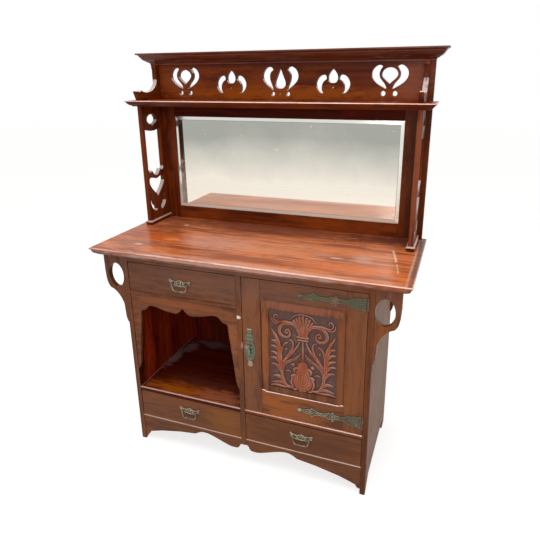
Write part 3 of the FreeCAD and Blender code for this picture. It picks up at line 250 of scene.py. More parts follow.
def mahogany(name, pale, deep, blush, along, gloss, marks=()):
    """Mahogany, stained and French polished: long streaks, faint rings, dark pores, orange flushes.

    In widths of a streak, the figure's cells measure 4.5, the rings' and the flushes' about 8, and a pore
    0.2. Streaks and pores are drawn coarser than life, so that they show at arm's length.
    """
    sizes = bpy.context.scene.chiffonier_sizes
    streak = sizes.grain_width
    specular, coat, polish, spread = gloss
    material, tree = new_material(name)
    place = add(tree, "ShaderNodeTexCoord").outputs["Object"]
    squeeze = [1.0, 1.0, 1.0]
    squeeze[AXES[along]] = streak / sizes.grain_length
    grain = add(tree, "ShaderNodeMapping", {"Vector": place, "Scale": squeeze}).outputs[0]
    sway = add(tree, "ShaderNodeTexNoise", {"Vector": place, "Scale": FIGURE_SWAY, "Detail": 1.0})
    bent = add(tree, "ShaderNodeMix", {SHARE: 0.03, STRAIGHT: grain, BENT: sway.outputs["Color"]},
               data_type="VECTOR").outputs[BENT_OUT]
    figure = add(tree, "ShaderNodeTexNoise", {"Vector": bent, "Scale": 0.22 / streak, "Detail": 2.0,
                                              "Roughness": 0.5, "Distortion": 0.8}).outputs[0]
    streaks = add(tree, "ShaderNodeTexNoise", {"Vector": bent, "Scale": 1.0 / streak, "Detail": 5.0,
                                               "Roughness": 0.6}).outputs[0]
    rings = add(tree, "ShaderNodeTexWave", {"Vector": bent, "Scale": 0.12 / streak, "Distortion": 3.5,
                                            "Detail": 2.0, "Detail Scale": 1.4},
                wave_type="RINGS", rings_direction="SPHERICAL").outputs["Fac"]
    fine = add(tree, "ShaderNodeMath", {0: streaks, 1: 0.8, 2: figure}, operation="MULTIPLY_ADD")
    whole = add(tree, "ShaderNodeMath", {0: rings, 1: 0.12, 2: fine.outputs[0]}, operation="MULTIPLY_ADD")
    finish = overlaid(tree, deep, pale, whole.outputs[0], MIDDLE_TONE - spread, MIDDLE_TONE + spread)
    squeeze[AXES[along]] = FLUSH_SQUEEZE
    patches = add(tree, "ShaderNodeMapping", {"Vector": place, "Scale": squeeze}).outputs[0]
    flush = add(tree, "ShaderNodeTexNoise", {"Vector": patches, "Scale": 0.13 / streak, "Detail": 4.0,
                                             "Roughness": 0.6})
    finish = overlaid(tree, finish, blush, flush.outputs[0], 0.46, 0.68, 0.75)
    pores = add(tree, "ShaderNodeTexNoise", {"Vector": bent, "Scale": 4.5 / streak, "Detail": 1.0})
    pore = add(tree, "ShaderNodeValToRGB", {0: pores.outputs[0]}, stops=[(0.34, BLACK), (0.46, WHITE)])
    shaded = add(tree, "ShaderNodeMix", {SHARE: 1.0, UNDER: finish, OVER: (0.74, 0.68, 0.64, 1.0)},
                 data_type="RGBA", blend_type="MULTIPLY").outputs[MIXED]
    finish = add(tree, "ShaderNodeMix", {SHARE: pore.outputs[0], UNDER: shaded, OVER: finish},
                 data_type="RGBA").outputs[MIXED]
    if marks:
        finish = scars_and_painted_light(tree, place, finish, marks, along)
    # The carved panel gets painted shade along its rim, against its frame.
    if name.endswith("carved_panel"):
        finish = rim_shaded(tree, place, finish, PANEL_MIDDLE, PANEL_HALF)
    dull = add(tree, "ShaderNodeTexNoise", {"Vector": place, "Scale": DULL_PATCHES, "Detail": 3.0})
    rough = add(tree, "ShaderNodeMapRange", {"Value": dull.outputs[0], TO_LOW: polish - 0.08,
                                             TO_HIGH: polish + 0.12})
    bump = add(tree, "ShaderNodeBump", {"Height": pore.outputs[0], "Strength": 0.25,
                                        "Distance": 0.15 * MM})
    shader = add(tree, "ShaderNodeBsdfPrincipled", {
        "Base Color": finish, "Roughness": rough.outputs[0], "Normal": bump.outputs[0], "IOR": 1.5,
        "Specular IOR Level": specular, "Coat Weight": coat, "Coat Roughness": 0.15})
    add(tree, "ShaderNodeOutputMaterial", {"Surface": shader.outputs[0]})
    return material


def carved_wood(name, pale, deep, bloom_and_highlight):
    """Carved mahogany: a dull dark ground, orange high places, painted shade in the hollows and grey old wax
    with a painted highlight along the edges.
    """
    material, tree = new_material(name)
    place = add(tree, "ShaderNodeTexCoord").outputs["Object"]
    rise = add(tree, "ShaderNodeAttribute", attribute_name="raised").outputs["Fac"]
    ridge = add(tree, "ShaderNodeAttribute", attribute_name="ridge").outputs["Fac"]
    finish = overlaid(tree, deep, pale, rise, 0.12, 0.62)
    strip = add(tree, "ShaderNodeMapping", {"Vector": place, "Scale": (1.0, 1.0, 0.12)}).outputs[0]
    grain = add(tree, "ShaderNodeTexNoise", {"Vector": strip, "Scale": CARVED_PORES, "Detail": 3.0})
    dark = add(tree, "ShaderNodeMix", {SHARE: 1.0, UNDER: finish, OVER: (0.7, 0.62, 0.6, 1.0)},
               data_type="RGBA", blend_type="MULTIPLY").outputs[MIXED]
    finish = overlaid(tree, dark, finish, grain.outputs[0], 0.38, 0.6)
    # Painted shade: the hollows between the strokes are darkened.
    finish = overlaid(tree, finish, linear("#2f1712"), ridge, 0.47, 0.3, 0.6)
    # Old wax and a painted highlight: the high edges turn pale grey in patches.
    patches = add(tree, "ShaderNodeTexNoise", {"Vector": place, "Scale": WAX_PATCHES, "Detail": 3.0})
    wax_and_highlight = add(tree, "ShaderNodeMath", {0: patches.outputs[0], 1: 1.6, 2: ridge}, operation="MULTIPLY_ADD")
    finish = overlaid(tree, finish, bloom_and_highlight, wax_and_highlight.outputs[0], 1.5, 1.9, 0.65)
    chisel = add(tree, "ShaderNodeTexNoise", {"Vector": place, "Scale": CHISEL_MARKS, "Detail": 2.0})
    bump = add(tree, "ShaderNodeBump", {"Height": chisel.outputs[0], "Strength": 0.35,
                                        "Distance": 0.25 * MM})
    shader = add(tree, "ShaderNodeBsdfPrincipled", {
        "Base Color": finish, "Normal": bump.outputs[0], "Roughness": 0.42, "IOR": 1.5,
        "Specular IOR Level": 0.35})
    add(tree, "ShaderNodeOutputMaterial", {"Surface": shader.outputs[0]})
    return material


def cast_metal(name, bare, hollow, patina, rubbed, marks=()):
    """Cast brass that has dulled: patina in patches, dark hollows, bare metal on the rubbed ridges."""
    material, tree = new_material(name)
    place = add(tree, "ShaderNodeTexCoord").outputs["Object"]
    ridge = add(tree, "ShaderNodeAttribute", attribute_name="ridge").outputs["Fac"]
    patches = add(tree, "ShaderNodeTexNoise", {"Vector": place, "Scale": TARNISH_PATCHES, "Detail": 4.0,
                                               "Roughness": 0.65})
    grit = add(tree, "ShaderNodeTexNoise", {"Vector": place, "Scale": CASTING_GRIT, "Detail": 3.0}).outputs[0]
    finish = overlaid(tree, hollow, patina, patches.outputs[0], 0.36, 0.58)
    polished = add(tree, "ShaderNodeMath", {0: grit, 1: 0.4, 2: ridge}, operation="MULTIPLY_ADD")
    worn = add(tree, "ShaderNodeMapRange", {"Value": polished.outputs[0], FROM_LOW: 0.82 - rubbed,
                                            FROM_HIGH: 1.08 - rubbed}).outputs[0]
    finish = add(tree, "ShaderNodeMix", {SHARE: worn, UNDER: finish, OVER: bare},
                 data_type="RGBA").outputs[MIXED]
    if marks:
        finish = scars_and_painted_light(tree, place, finish, marks)
    rough = add(tree, "ShaderNodeMapRange", {"Value": worn, TO_LOW: 0.6, TO_HIGH: 0.34}).outputs[0]
    metal = add(tree, "ShaderNodeMapRange", {"Value": worn, TO_LOW: 0.25, TO_HIGH: 0.75}).outputs[0]
    bump = add(tree, "ShaderNodeBump", {"Height": grit, "Strength": 0.3, "Distance": 0.2 * MM})
    shader = add(tree, "ShaderNodeBsdfPrincipled", {
        "Base Color": finish, "Roughness": rough, "Metallic": metal, "Normal": bump.outputs[0]})
    add(tree, "ShaderNodeOutputMaterial", {"Surface": shader.outputs[0]})
    return material


# Heights of the band at the foot of the mirror where its painted reflection is brightest, and of the one at
# its head where it is darkest.
BRIGHT_REFLECTION_FOOT = 100.0 * MM
DARK_REFLECTION_HEAD = 80.0 * MM


def silvered(name, foot, head, frost):
    """Old silvered plate glass with a painted reflection that darkens towards the head; it gathers dust at
    the foot.
    """
    material, tree = new_material(name)
    place = add(tree, "ShaderNodeTexCoord").outputs["Object"]
    low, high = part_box("mirror_glass")
    rise = add(tree, "ShaderNodeSeparateXYZ", {"Vector": place}).outputs["Z"]
    patchiness = add(tree, "ShaderNodeTexNoise", {"Vector": place, "Scale": SILVER_PATCHES,
                                             "Detail": 4.0}).outputs[0]
    height = add(tree, "ShaderNodeMapRange", {"Value": rise, FROM_LOW: low.z + BRIGHT_REFLECTION_FOOT,
                                              FROM_HIGH: high.z - DARK_REFLECTION_HEAD}).outputs[0]
    shade = add(tree, "ShaderNodeMath", {0: patchiness, 1: 0.5, 2: height}, operation="MULTIPLY_ADD")
    finish = overlaid(tree, foot, head, shade.outputs[0], 0.45, 1.25)
    specks = add(tree, "ShaderNodeTexNoise", {"Vector": place, "Scale": SILVER_FLECKS, "Detail": 2.0})
    finish = overlaid(tree, finish, linear("#efe8bd"), specks.outputs[0], 0.7, 0.78, 0.5)
    rough = add(tree, "ShaderNodeMapRange", {"Value": patchiness, TO_LOW: frost + 0.03, TO_HIGH: frost})
    dust = add(tree, "ShaderNodeMapRange", {"Value": height, FROM_LOW: -0.1, FROM_HIGH: 0.7,
                                            TO_LOW: 0.7 - 3.0 * frost, TO_HIGH: 0.97})
    shader = add(tree, "ShaderNodeBsdfPrincipled", {
        "Base Color": finish, "Roughness": rough.outputs[0], "Metallic": dust.outputs[0]})
    add(tree, "ShaderNodeOutputMaterial", {"Surface": shader.outputs[0]})
    return material


def finish_of(kind, along="X", marks=(), label=""):
    """The wood of one group of boards, with its grain along an axis; made once."""
    name = "%s grain %s%s" % (kind, along, label)
    if name in bpy.data.materials:
        return bpy.data.materials[name]
    look = bpy.context.scene.chiffonier_finishes
    # The fronts keep a thin polish with a soft sheen, the worktop has faded to a satin, the raised back is
    # red and nearly matt, and only the cornice still shines. Inside, the boards are bare; their dark finish
    # is also painted shade on the back frame's top rail and round the fronts. Rubbed and wax-worn nosings and
    # the cut edges of the fretwork are smooth, so they catch the sky, and where they face up they are painted
    # pale as a highlight. The pine of the linings is planed.
    # Last: specular level, coat, roughness and softness of the streaks.
    pale, deep, blush, gloss = {
        "Polished mahogany": (look.case_pale, look.case_deep, look.case_blush, (0.14, 0.08, 0.38, 0.18)),
        "Faded mahogany": (look.top_pale, look.top_deep, look.top_blush, (0.12, 0.05, 0.3, 0.13)),
        "Red mahogany": (look.back_pale, look.back_deep, look.back_blush, (0.08, 0.03, 0.36, 0.22)),
        "Cornice mahogany": (look.cornice_pale, look.cornice_deep, look.back_pale, (0.25, 0.1, 0.34, 0.22)),
        "Dark mahogany": (look.inside_pale, look.inside_deep, look.back_deep, (0.06, 0.0, 0.5, 0.22)),
        "Stained mahogany": (look.wall_pale, look.wall_deep, look.wall_pale, (0.06, 0.0, 0.5, 0.22)),
        "Dull mahogany": (look.case_pale, look.case_deep, look.case_blush, (0.09, 0.0, 0.46, 0.22)),
        "Rubbed mahogany": (look.rubbed, look.top_blush, look.rubbed, (0.8, 0.5, 0.25, 0.22)),
        "Waxed mahogany": (look.waxed_nosing_highlight, look.waxed_nosing_highlight, look.waxed_nosing_highlight, (0.5, 0.2, 0.3, 0.22)),
        "Sawn mahogany": (look.sawn_edge_highlight, look.sawn_edge_highlight, look.sawn_edge_highlight, (0.5, 0.2, 0.3, 0.22)),
        "Planed pine": (look.pine_pale, look.pine_deep, look.pine_pale, (0.3, 0.0, 0.6, 0.22)),
    }[kind]
    return mahogany(name, pale[:], deep[:], blush[:], along, gloss, marks)


# -------------------------------------------------------------------------- pieces


# Angles from which an edge is drawn sharp, gets a worn rounding, or is kept when triangles are joined. The
# plate's bevel is so shallow that its edges need an angle of their own.
SHARP_FROM = math.radians(50)
PLATE_SHARP_FROM = math.radians(1.5)
ROUNDED_FROM = math.radians(30)
KEPT_FROM = math.radians(0.4)


def mesh_piece(name, bm, materials, body, stands_for=(), smooth=SHARP_FROM, weighted=False):
    """Turn a bmesh into a piece that rides on a body."""
    mesh = bpy.data.meshes.new(name)
    bm.to_mesh(mesh)
    bm.free()
    mesh.polygons.foreach_set("use_smooth", [True] * len(mesh.polygons))
    mesh.set_sharp_from_angle(angle=smooth)
    for material in materials:
        mesh.materials.append(material)
    piece = bpy.data.objects.new(name, mesh)
    bpy.context.scene.collection.objects.link(piece)
    if weighted:
        piece.modifiers.new("Flat faces stay flat", "WEIGHTED_NORMAL").keep_sharp = True
    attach(piece, body)
    if stands_for:
        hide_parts(*stands_for)
    return piece


def merged_copy(node):
    """A copy of a CAD node's mesh with its loose triangles joined and its flat faces whole."""
    bm = bmesh.new()
    bm.from_mesh(NODES[node].data)
    bmesh.ops.remove_doubles(bm, verts=bm.verts, dist=0.01 * MM)
    bmesh.ops.dissolve_limit(bm, angle_limit=KEPT_FROM, verts=bm.verts, edges=bm.edges)
    return bm


def round_over(bm, edges, width, segments, material=-1):
    """Bevel edges by a width; a material number marks the new faces, and -1 keeps their neighbours'."""
    bmesh.ops.bevel(bm, geom=edges, offset=width, offset_type="OFFSET", segments=segments, profile=0.5,
                    affect="EDGES", clamp_overlap=False, material=material)


def worn_arrises(bm, width):
    """Round over every sharp edge that stands out; inner corners stay crisp."""
    bm.normal_update()
    sharp = [edge for edge in bm.edges if edge.is_convex and edge.calc_face_angle() > ROUNDED_FROM]
    round_over(bm, sharp, width, 2)


def nosed_rail(bm, width):
    """Round over the edge between the front of a rail and its upper face."""
    bm.normal_update()
    edges = []
    for edge in bm.edges:
        normals = [face.normal for face in edge.link_faces]
        if any(normal.y < -0.9 for normal in normals) and any(normal.z > 0.5 for normal in normals):
            edges.append(edge)
    round_over(bm, edges, width, 4)


# The floors of pierced holes lie at least this far below a board's top edge.
TOP_EDGE = 3.0 * MM
# A wall's face may be sunk this far.
WALL_SKIN = 5.0 * MM
# Heights of the half-round lips.
WORKTOP_LIP = 8.5 * MM
SHELF_LIP = 9.5 * MM


def catches_light(face):
    """True on the shoulder of a nosing, between its upright and its level face, which takes the painted
    highlight.
    """
    return 0.3 < face.normal.z < 0.98


def hole_floors(node, slope=0.3):
    """True on the upward sides of a board's pierced holes and hollows, which take a painted highlight."""
    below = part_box(node)[1].z - TOP_EDGE

    def chosen(face):
        return face.normal.z > slope and face.calc_center_median().z < below
    return chosen


def inward(wall_x, sign):
    """True on the face of a wall that looks along X into the open compartment."""
    low_x, high_x = sorted((wall_x + sign * MM, wall_x - sign * WALL_SKIN))

    def chosen(face):
        return sign * face.normal.x > 0.9 and low_x < face.calc_center_median().x < high_x
    return chosen


def joint(face):
    """True on the arrises round the front of a drawer or of a part of the door, darkened as painted shade of
    the gaps.
    """
    return -0.9 < face.normal.y < -0.2


def lipped(node, lip):
    """True on the half-round lip of a board, which reaches this far down from its top; the lip takes the
    painted highlight.
    """
    low_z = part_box(node)[1].z - lip

    def chosen(face):
        return -0.1 < face.normal.z < 0.98 and face.calc_center_median().z > low_z
    return chosen


def soften(node, kind, along, chosen=None, second=None, nosing=None):
    """Stand a copy with worn arrises in for a CAD board; chosen faces take a second finish."""
    bm = merged_copy(node)
    if nosing:
        nosed_rail(bm, nosing)
    worn_arrises(bm, FINE_ARRISES[node] * MM if node in FINE_ARRISES
                 else bpy.context.scene.chiffonier_sizes.arris)
    low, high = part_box(node)
    for vert in bm.verts:
        vert.co = [min(max(at, least), most) for at, least, most in zip(vert.co, low, high)]
    bm.normal_update()
    for face in bm.faces:
        face.material_index = 1 if chosen and chosen(face) else 0
    marks = MARKS.get(node, ())
    label = " " + node if marks else ""
    if kind == "Polished mahogany":
        marks = FRONT_MARKS + marks
    finishes = [finish_of(kind, along, marks, label)]
    if second:
        shaded = MARKS.get(node + " inside", ())
        finishes.append(finish_of(second, along, shaded, " inside " + node if shaded else ""))
    return mesh_piece(node + "_board", bm, finishes, BODY_OF[node], [node], weighted=True)


# Each board: its finish, the axis of its grain, the faces that take a second finish, and that finish.
BOARDS = {
    "frieze_rail": ("Polished mahogany", "X"), "upper_dustboard": ("Polished mahogany", "X"),
    "left_apron": ("Polished mahogany", "X"), "right_apron": ("Polished mahogany", "X"),
    "scalloped_arch": ("Polished mahogany", "X"), "carved_panel": ("Polished mahogany", "Z"),
    "front_brackets": ("Polished mahogany", "Z"), "rear_brackets": ("Polished mahogany", "Z"),
    "right_end_panel": ("Dull mahogany", "Z"),
    "cupboard_floor": ("Polished mahogany", "X", catches_light, "Rubbed mahogany"),
    "left_bottom_board": ("Polished mahogany", "X", catches_light, "Waxed mahogany"),
    "right_bottom_board": ("Polished mahogany", "X", catches_light, "Waxed mahogany"),
    "compartment_floor": ("Dark mahogany", "X", catches_light, "Waxed mahogany"),
    # The top rail of the back frame takes the dark inside finish as painted shade under the shelf.
    "back_frame_top_rail": ("Dark mahogany", "X"), "back_frame_bottom_rail": ("Red mahogany", "X"),
    "back_frame_stiles": ("Red mahogany", "Z"),
    "gallery_board": ("Red mahogany", "X", hole_floors("gallery_board"), "Sawn mahogany"),
    "left_side_panel": ("Red mahogany", "Z", hole_floors("left_side_panel"), "Sawn mahogany"),
    "right_side_panel": ("Red mahogany", "Z", hole_floors("right_side_panel"), "Sawn mahogany"),
    "shelf_brackets": ("Red mahogany", "Y", hole_floors("shelf_brackets", 0.06), "Sawn mahogany"),
    "foot_mouldings": ("Red mahogany", "Y", catches_light, "Waxed mahogany"),
    "cornice": ("Cornice mahogany", "X", catches_light, "Waxed mahogany"),
}
# The fronts whose arrises are darkened as painted shade of the gaps round them: the axis of the grain of
# each.
JOINTED = {"top_drawer_front": "X", "left_drawer_front": "X", "right_drawer_front": "X", "door_top_rail": "X",
           "lock_stile": "Z", "hinge_stile": "Z"}
# Mouldings and fretwork that are worn less than the other boards: width of the rounding in millimetres.
FINE_ARRISES = {"worktop": 0.8, "shelf": 0.6, "cornice": 0.6, "foot_mouldings": 0.5, "gallery_board": 0.9}

# The opening of the door frame over the panel, in millimetres.
PANEL_MIDDLE = (239.5, 558.25)
PANEL_HALF = (157.0, 189.75)

# Wear and stains, with painted shade, highlights and reflections. A mark is its middle and its radii in
# millimetres, its colour and its strength.


def level_marks(z, high, *marks):
    """Marks that share a level: x, y, half width, half depth, colour and strength of each."""
    return tuple(((x, y, z), (wide, deep, high), code, strength)
                 for x, y, wide, deep, code, strength in marks)


def upright_marks(y, deep, *marks):
    """Marks that share an upright face: x, z, half width, half height, colour and strength of each."""
    return tuple(((x, y, z), (wide, deep, high), code, strength)
                 for x, z, wide, high, code, strength in marks)


# The worktop's upper face and the fronts, with how far above and below, or before and behind, marks reach.
WORKTOP_LEVEL, WORKTOP_REACH = 878, 60
FRONT_FACE, FRONT_REACH = -219, 30
FRONT_MARKS = upright_marks(-220, 60,
                            (0, 140, 540, 190, "#73431f", 0.45),
                            (0, 800, 560, 90, "#7c5646", 0.5))
MARKS = {
    "worktop": level_marks(
        WORKTOP_LEVEL, WORKTOP_REACH,
        # Painted shade: the back of the top, in front of the raised back, is darkened.
        (0, 195, 640, 78, "#74402e", 0.85),
        (-60, 142, 230, 24, "#6a3423", 0.6),
        (-450, 90, 90, 60, "#7a3f2a", 0.6),
        (-395, 5, 44, 40, "#84401f", 0.6),
        (-400, -60, 120, 52, "#c0561c", 0.85),
        (-357, -68, 34, 22, "#dd7a14", 0.9),
        # Painted reflection: a pale haze on the left of the top.
        (-170, -50, 190, 80, "#dca089", 0.4),
        (-480, -150, 110, 60, "#965834", 0.8),
        (-455, -160, 22, 9, "#ddc0a8", 0.7),
        (-405, 130, 14, 10, "#e2b8a0", 0.7),
        (60, 22, 90, 7, "#8d4524", 0.6),
        (190, 48, 90, 7, "#8d4524", 0.6),
        (310, 66, 80, 6, "#8d4524", 0.5),
        (190, -80, 46, 24, "#d0622a", 0.85),
        (60, -130, 56, 24, "#cd6a2c", 0.8),
        (66, -130, 14, 14, "#8d4a30", 0.7),
        (270, -62, 36, 15, "#9c7a6c", 0.75),
        (352, -80, 32, 13, "#93695a", 0.75),
        # Painted reflections: pale pink patches on the right of the top.
        (318, -72, 26, 8, "#e6bda8", 0.7),
        (410, -60, 44, 44, "#cf9d90", 0.5),
        (390, -155, 190, 46, "#dc7438", 0.7),
        (570, -190, 34, 20, "#dd7630", 0.7),
        (330, 30, 150, 26, "#c86a34", 0.6),
        # Painted shade in front of the right of the raised back.
        (480, 190, 170, 66, "#5e3027", 0.85),
        (600, 0, 12, 420, "#6e5448", 0.8),
        (587, -20, 5, 380, "#c9a597", 0.6),
        (601, 222, 16, 40, "#4c463c", 0.8),
        # Painted reflection: pale streaks running back across the right of the top.
        *((505 + 0.234 * step, 64 - step, 4, 13, "#f3cdb9", 0.6) for step in range(0, 112, 14)),
        *((535 + 0.193 * step, -71 - step, 3.5, 13, "#efc3ac", 0.42) for step in range(0, 84, 14))
    ) + level_marks(
        # Painted shade in the cove under the nosing of the top.
        853, 20, (0, 0, 2500, 2000, "#6b3425", 0.75)
    ) + level_marks(
        WORKTOP_LEVEL, WORKTOP_REACH,
        (60, -60, 240, 60, "#d98a5c", 0.4),
        # Painted highlight along the front edge of the top.
        (-60, -238, 500, 16, "#d9a898", 0.4),
        (-60, -255, 560, 5, "#e0b8aa", 0.7)
    ),
    "worktop inside": level_marks(
        # Painted shade on the lower part of the lip.
        867, 7.5, (0, 0, 2500, 2000, "#6b3425", 0.75)
    ) + level_marks(
        WORKTOP_LEVEL, WORKTOP_REACH, (609, 60, 14, 300, "#6a5248", 0.85)
    ),
    "compartment_floor": level_marks(
        264, 6,
        (-200, -120, 200, 60, "#5a3024", 0.5),
        # Painted light: the front of the floor is lit orange.
        (-270, -185, 240, 52, "#8e4412", 0.88),
        (-320, -190, 130, 26, "#ab5a12", 0.6),
        (-110, -184, 120, 46, "#a25c3e", 0.8),
        # Painted reflection of the arch's leg along the left edge of the floor.
        (-468, 0, 5, 300, "#8a7670", 0.7)
    ) + level_marks(
        264, 30,
        (-453, 20, 26, 80, "#8a6f6a", 0.8),
        (-427, 132, 40, 50, "#7f6460", 0.75),
        (-330, 190, 95, 34, "#75595a", 0.7)
    ),
    "carved_panel": upright_marks(
        -215, 30,
        (95, 560, 22, 190, "#a05c34", 0.75),
        (385, 520, 16, 190, "#8a4f2c", 0.6),
        (240, 735, 150, 26, "#9a5a44", 0.7)
    ),
    "door_bottom_rail": upright_marks(
        FRONT_FACE, FRONT_REACH,
        (150, 318, 120, 62, "#a15a26", 0.85),
        (262, 300, 110, 36, "#93522a", 0.7),
        (185, 338, 36, 7, "#6e3a1c", 0.8),
        (120, 300, 60, 8, "#7c431f", 0.7)
    ),
    "right_drawer_front": upright_marks(FRONT_FACE, FRONT_REACH, (240, 190, 280, 90, "#593118", 0.62)),
    "left_end_panel inside": upright_marks(
        # Painted shade on the front strip of the wall, behind the arch.
        -200, 36, (-475, 450, 12, 520, "#34140b", 0.95)
    ) + upright_marks(
        # Painted shade on the upper back of the wall.
        60, 260, (-475, 680, 20, 110, "#3a0c06", 0.7)
    ),
    "left_end_panel": upright_marks(-221, 14, (-487, 400, 16, 430, "#55301f", 0.6)),
    "right_end_panel": upright_marks(
        -221, 30, (487, 60, 20, 100, "#523019", 0.7)
    ) + upright_marks(
        # Painted reflection: the outer face is paled with a grey sheen.
        0, 330, (495, 480, 12, 640, "#8a6a4c", 0.5)
    ) + upright_marks(
        -221, 14, (487, 400, 16, 430, "#5e3524", 0.5)
    ),
    "lock_stile": upright_marks(FRONT_FACE, FRONT_REACH, (40, 540, 44, 340, "#85573f", 0.45)),
    "hinge_stile": upright_marks(FRONT_FACE, FRONT_REACH, (440, 600, 40, 330, "#87502c", 0.5)),
    "left_drawer_front": upright_marks(FRONT_FACE, FRONT_REACH, (-80, 190, 90, 50, "#8e5420", 0.6)),
    "scalloped_arch": upright_marks(
        -218, 30,
        (-240, 670, 230, 26, "#94532e", 0.6),
        (-28, 560, 24, 90, "#9a5a34", 0.6),
        (-330, 656, 80, 7, "#70402a", 0.6),
        (-120, 650, 70, 7, "#70402a", 0.6)
    ),
    "centre_divider": upright_marks(
        -221, 14, (-1, 661.5, 11, 7.5, "#f1ded6", 1.0)
    ) + upright_marks(
        -221, 10, (8, 547, 4.5, 12, "#d99a86", 0.9)
    ) + upright_marks(
        -221, 20, (0, 300, 20, 220, "#54301f", 0.6)
    ),
    "gallery_board": upright_marks(
        240, 60,
        (0, 1434, 480, 30, "#8c4204", 0.85),
        (-480, 1480, 90, 60, "#84421c", 0.5),
        (-130, 1470, 120, 30, "#7c3a0c", 0.5),
        (510, 1480, 70, 80, "#8e503c", 0.5),
        # Painted shade along the top, under the cornice.
        (0, 1544, 560, 14, "#3c140a", 0.6)
    ),
    "shelf_brackets inside": upright_marks(
        150, 200,
        # Painted shade on the pale edges of the bracket tops, under the cornice.
        (562, 1532, 60, 70, "#6e3626", 0.95),
        (-562, 1532, 60, 70, "#6e3626", 0.95)
    ),
    "top_drawer_front": upright_marks(FRONT_FACE, FRONT_REACH, (-400, 770, 120, 70, "#5c3a2c", 0.4)),
    "right_side_panel": upright_marks(82, 12, (562, 1160, 16, 330, "#8a4a30", 0.8)),
    "back_frame_stiles": upright_marks(240, 30, (545, 1140, 60, 340, "#45260f", 0.6)),
}


class SoftenBoards(bpy.types.Operator):
    """Give every polished board its grain, its worn arrises, its scars and stains, and its painted shade and
    highlights.
    """
    bl_idname = "chiffonier.soften_boards"
    bl_label = "Polished boards"

    def execute(self, context):
        for node, choices in BOARDS.items():
            soften(node, *choices)
        for node, along in JOINTED.items():
            soften(node, "Polished mahogany", along, joint, "Dark mahogany")
        soften("worktop", "Faded mahogany", "X", lipped("worktop", WORKTOP_LIP), "Rubbed mahogany")
        soften("shelf", "Red mahogany", "X", lipped("shelf", SHELF_LIP), "Rubbed mahogany")
        soften("door_bottom_rail", "Polished mahogany", "X", catches_light, "Rubbed mahogany",
               nosing=context.scene.chiffonier_sizes.nosing)
        left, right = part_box("left_end_panel")[1].x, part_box("centre_divider")[0].x
        soften("left_end_panel", "Polished mahogany", "Z", inward(left, 1), "Stained mahogany")
        soften("centre_divider", "Polished mahogany", "Z", inward(right, -1), "Dark mahogany")
        return {"FINISHED"}


def paint(node, material):
    """Give a CAD node that stays in view a better material."""
    piece = NODES[node]
    if not piece.material_slots:
        piece.data.materials.append(material)
    for slot in piece.material_slots:
        slot.link = "OBJECT"
        slot.material = material


class FinishLinings(bpy.types.Operator):
    """Give the drawer linings, the back boards and the hidden hinge and lock parts their finish."""
    bl_idname = "chiffonier.finish_linings"
    bl_label = "Linings and ironwork"

    def execute(self, context):
        look = context.scene.chiffonier_finishes
        hinge_brass = cast_metal("Rolled hinge brass", look.brass[:], look.tarnish[:], linear("#7d6a42"), 0.3)
        steel = cast_metal("Lock steel", linear("#9a978f"), linear("#5a5650"), linear("#6b5a4a"), 0.4)
        for drawer in ("top_drawer", "left_drawer", "right_drawer"):
            paint(drawer + "_sides", finish_of("Planed pine", "Y"))
            paint(drawer + "_back", finish_of("Planed pine", "X"))
            paint(drawer + "_bottom", finish_of("Planed pine", "X"))
        paint("back_board", finish_of("Dark mahogany", "Z"))
        paint("mirror_backboard", finish_of("Planed pine", "X"))
        for node in ("case_hinge_leaves", "door_hinge_leaves", "hinge_pins"):
            paint(node, hinge_brass)
        for node in ("door_lock", "lock_bolt"):
            paint(node, steel)
        return {"FINISHED"}


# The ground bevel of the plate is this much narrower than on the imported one, and its arris this wide.
BEVEL_TRIM = 11.0 * MM
ARRIS_WIDTH = 1.2 * MM


class SilverMirror(bpy.types.Operator):
    """Silver the plate, with its ground bevel and the bright arris between them."""
    bl_idname = "chiffonier.silver_mirror"
    bl_label = "Mirror"

    def execute(self, context):
        look = context.scene.chiffonier_finishes
        bm = merged_copy("mirror_glass")
        bm.normal_update()
        for face in bm.faces:
            sloped = face.normal.y < -0.9 and abs(face.normal.x) + abs(face.normal.z) > 0.02
            face.material_index = 1 if sloped else 0
        middle = sum(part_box("mirror_glass"), Vector()) / 2
        for vert in {vert for face in bm.faces if face.normal.y < -0.999 for vert in face.verts}:
            vert.co.x += math.copysign(BEVEL_TRIM, vert.co.x - middle.x)
            vert.co.z += math.copysign(BEVEL_TRIM, vert.co.z - middle.z)
        arris = [edge for edge in bm.edges
                 if sorted(face.material_index for face in edge.link_faces) == [0, 1]
                 and all(face.normal.y < -0.9 for face in edge.link_faces)]
        round_over(bm, arris, ARRIS_WIDTH, 1, material=2)
        plate = silvered("Silvered plate glass", look.silver[:], look.painted_reflection_head[:], 0.015)
        bevel = silvered("Ground bevel", look.silver[:], linear("#dcdcd4"), 0.14)
        bright = silvered("Bright arris of the bevel", linear("#aeb0a8"), linear("#989a93"), 0.2)
        mesh_piece("mirror_plate", bm, [plate, bevel, bright], BODY_OF["mirror_glass"],
                   ["mirror_glass"], smooth=PLATE_SHARP_FROM)
        return {"FINISHED"}


# --------------------------------------------------------------------------- reliefs


# A stroke's line is followed in steps of this share of its narrowest half width, but no finer than this.
STEP_SHARE, FINEST_STEP = 0.3, 0.6
# The groove along a stroke takes this share of its half width.
GROOVE_WIDTH = 0.4
# A point is a ridge by how far it stands above the mean of the points round it, out to this many rows.
RIDGE_REACH = 6
RIDGE_GAIN = 6.0
# Thickness of the slab under a relief, in millimetres.
SLAB = 1.0


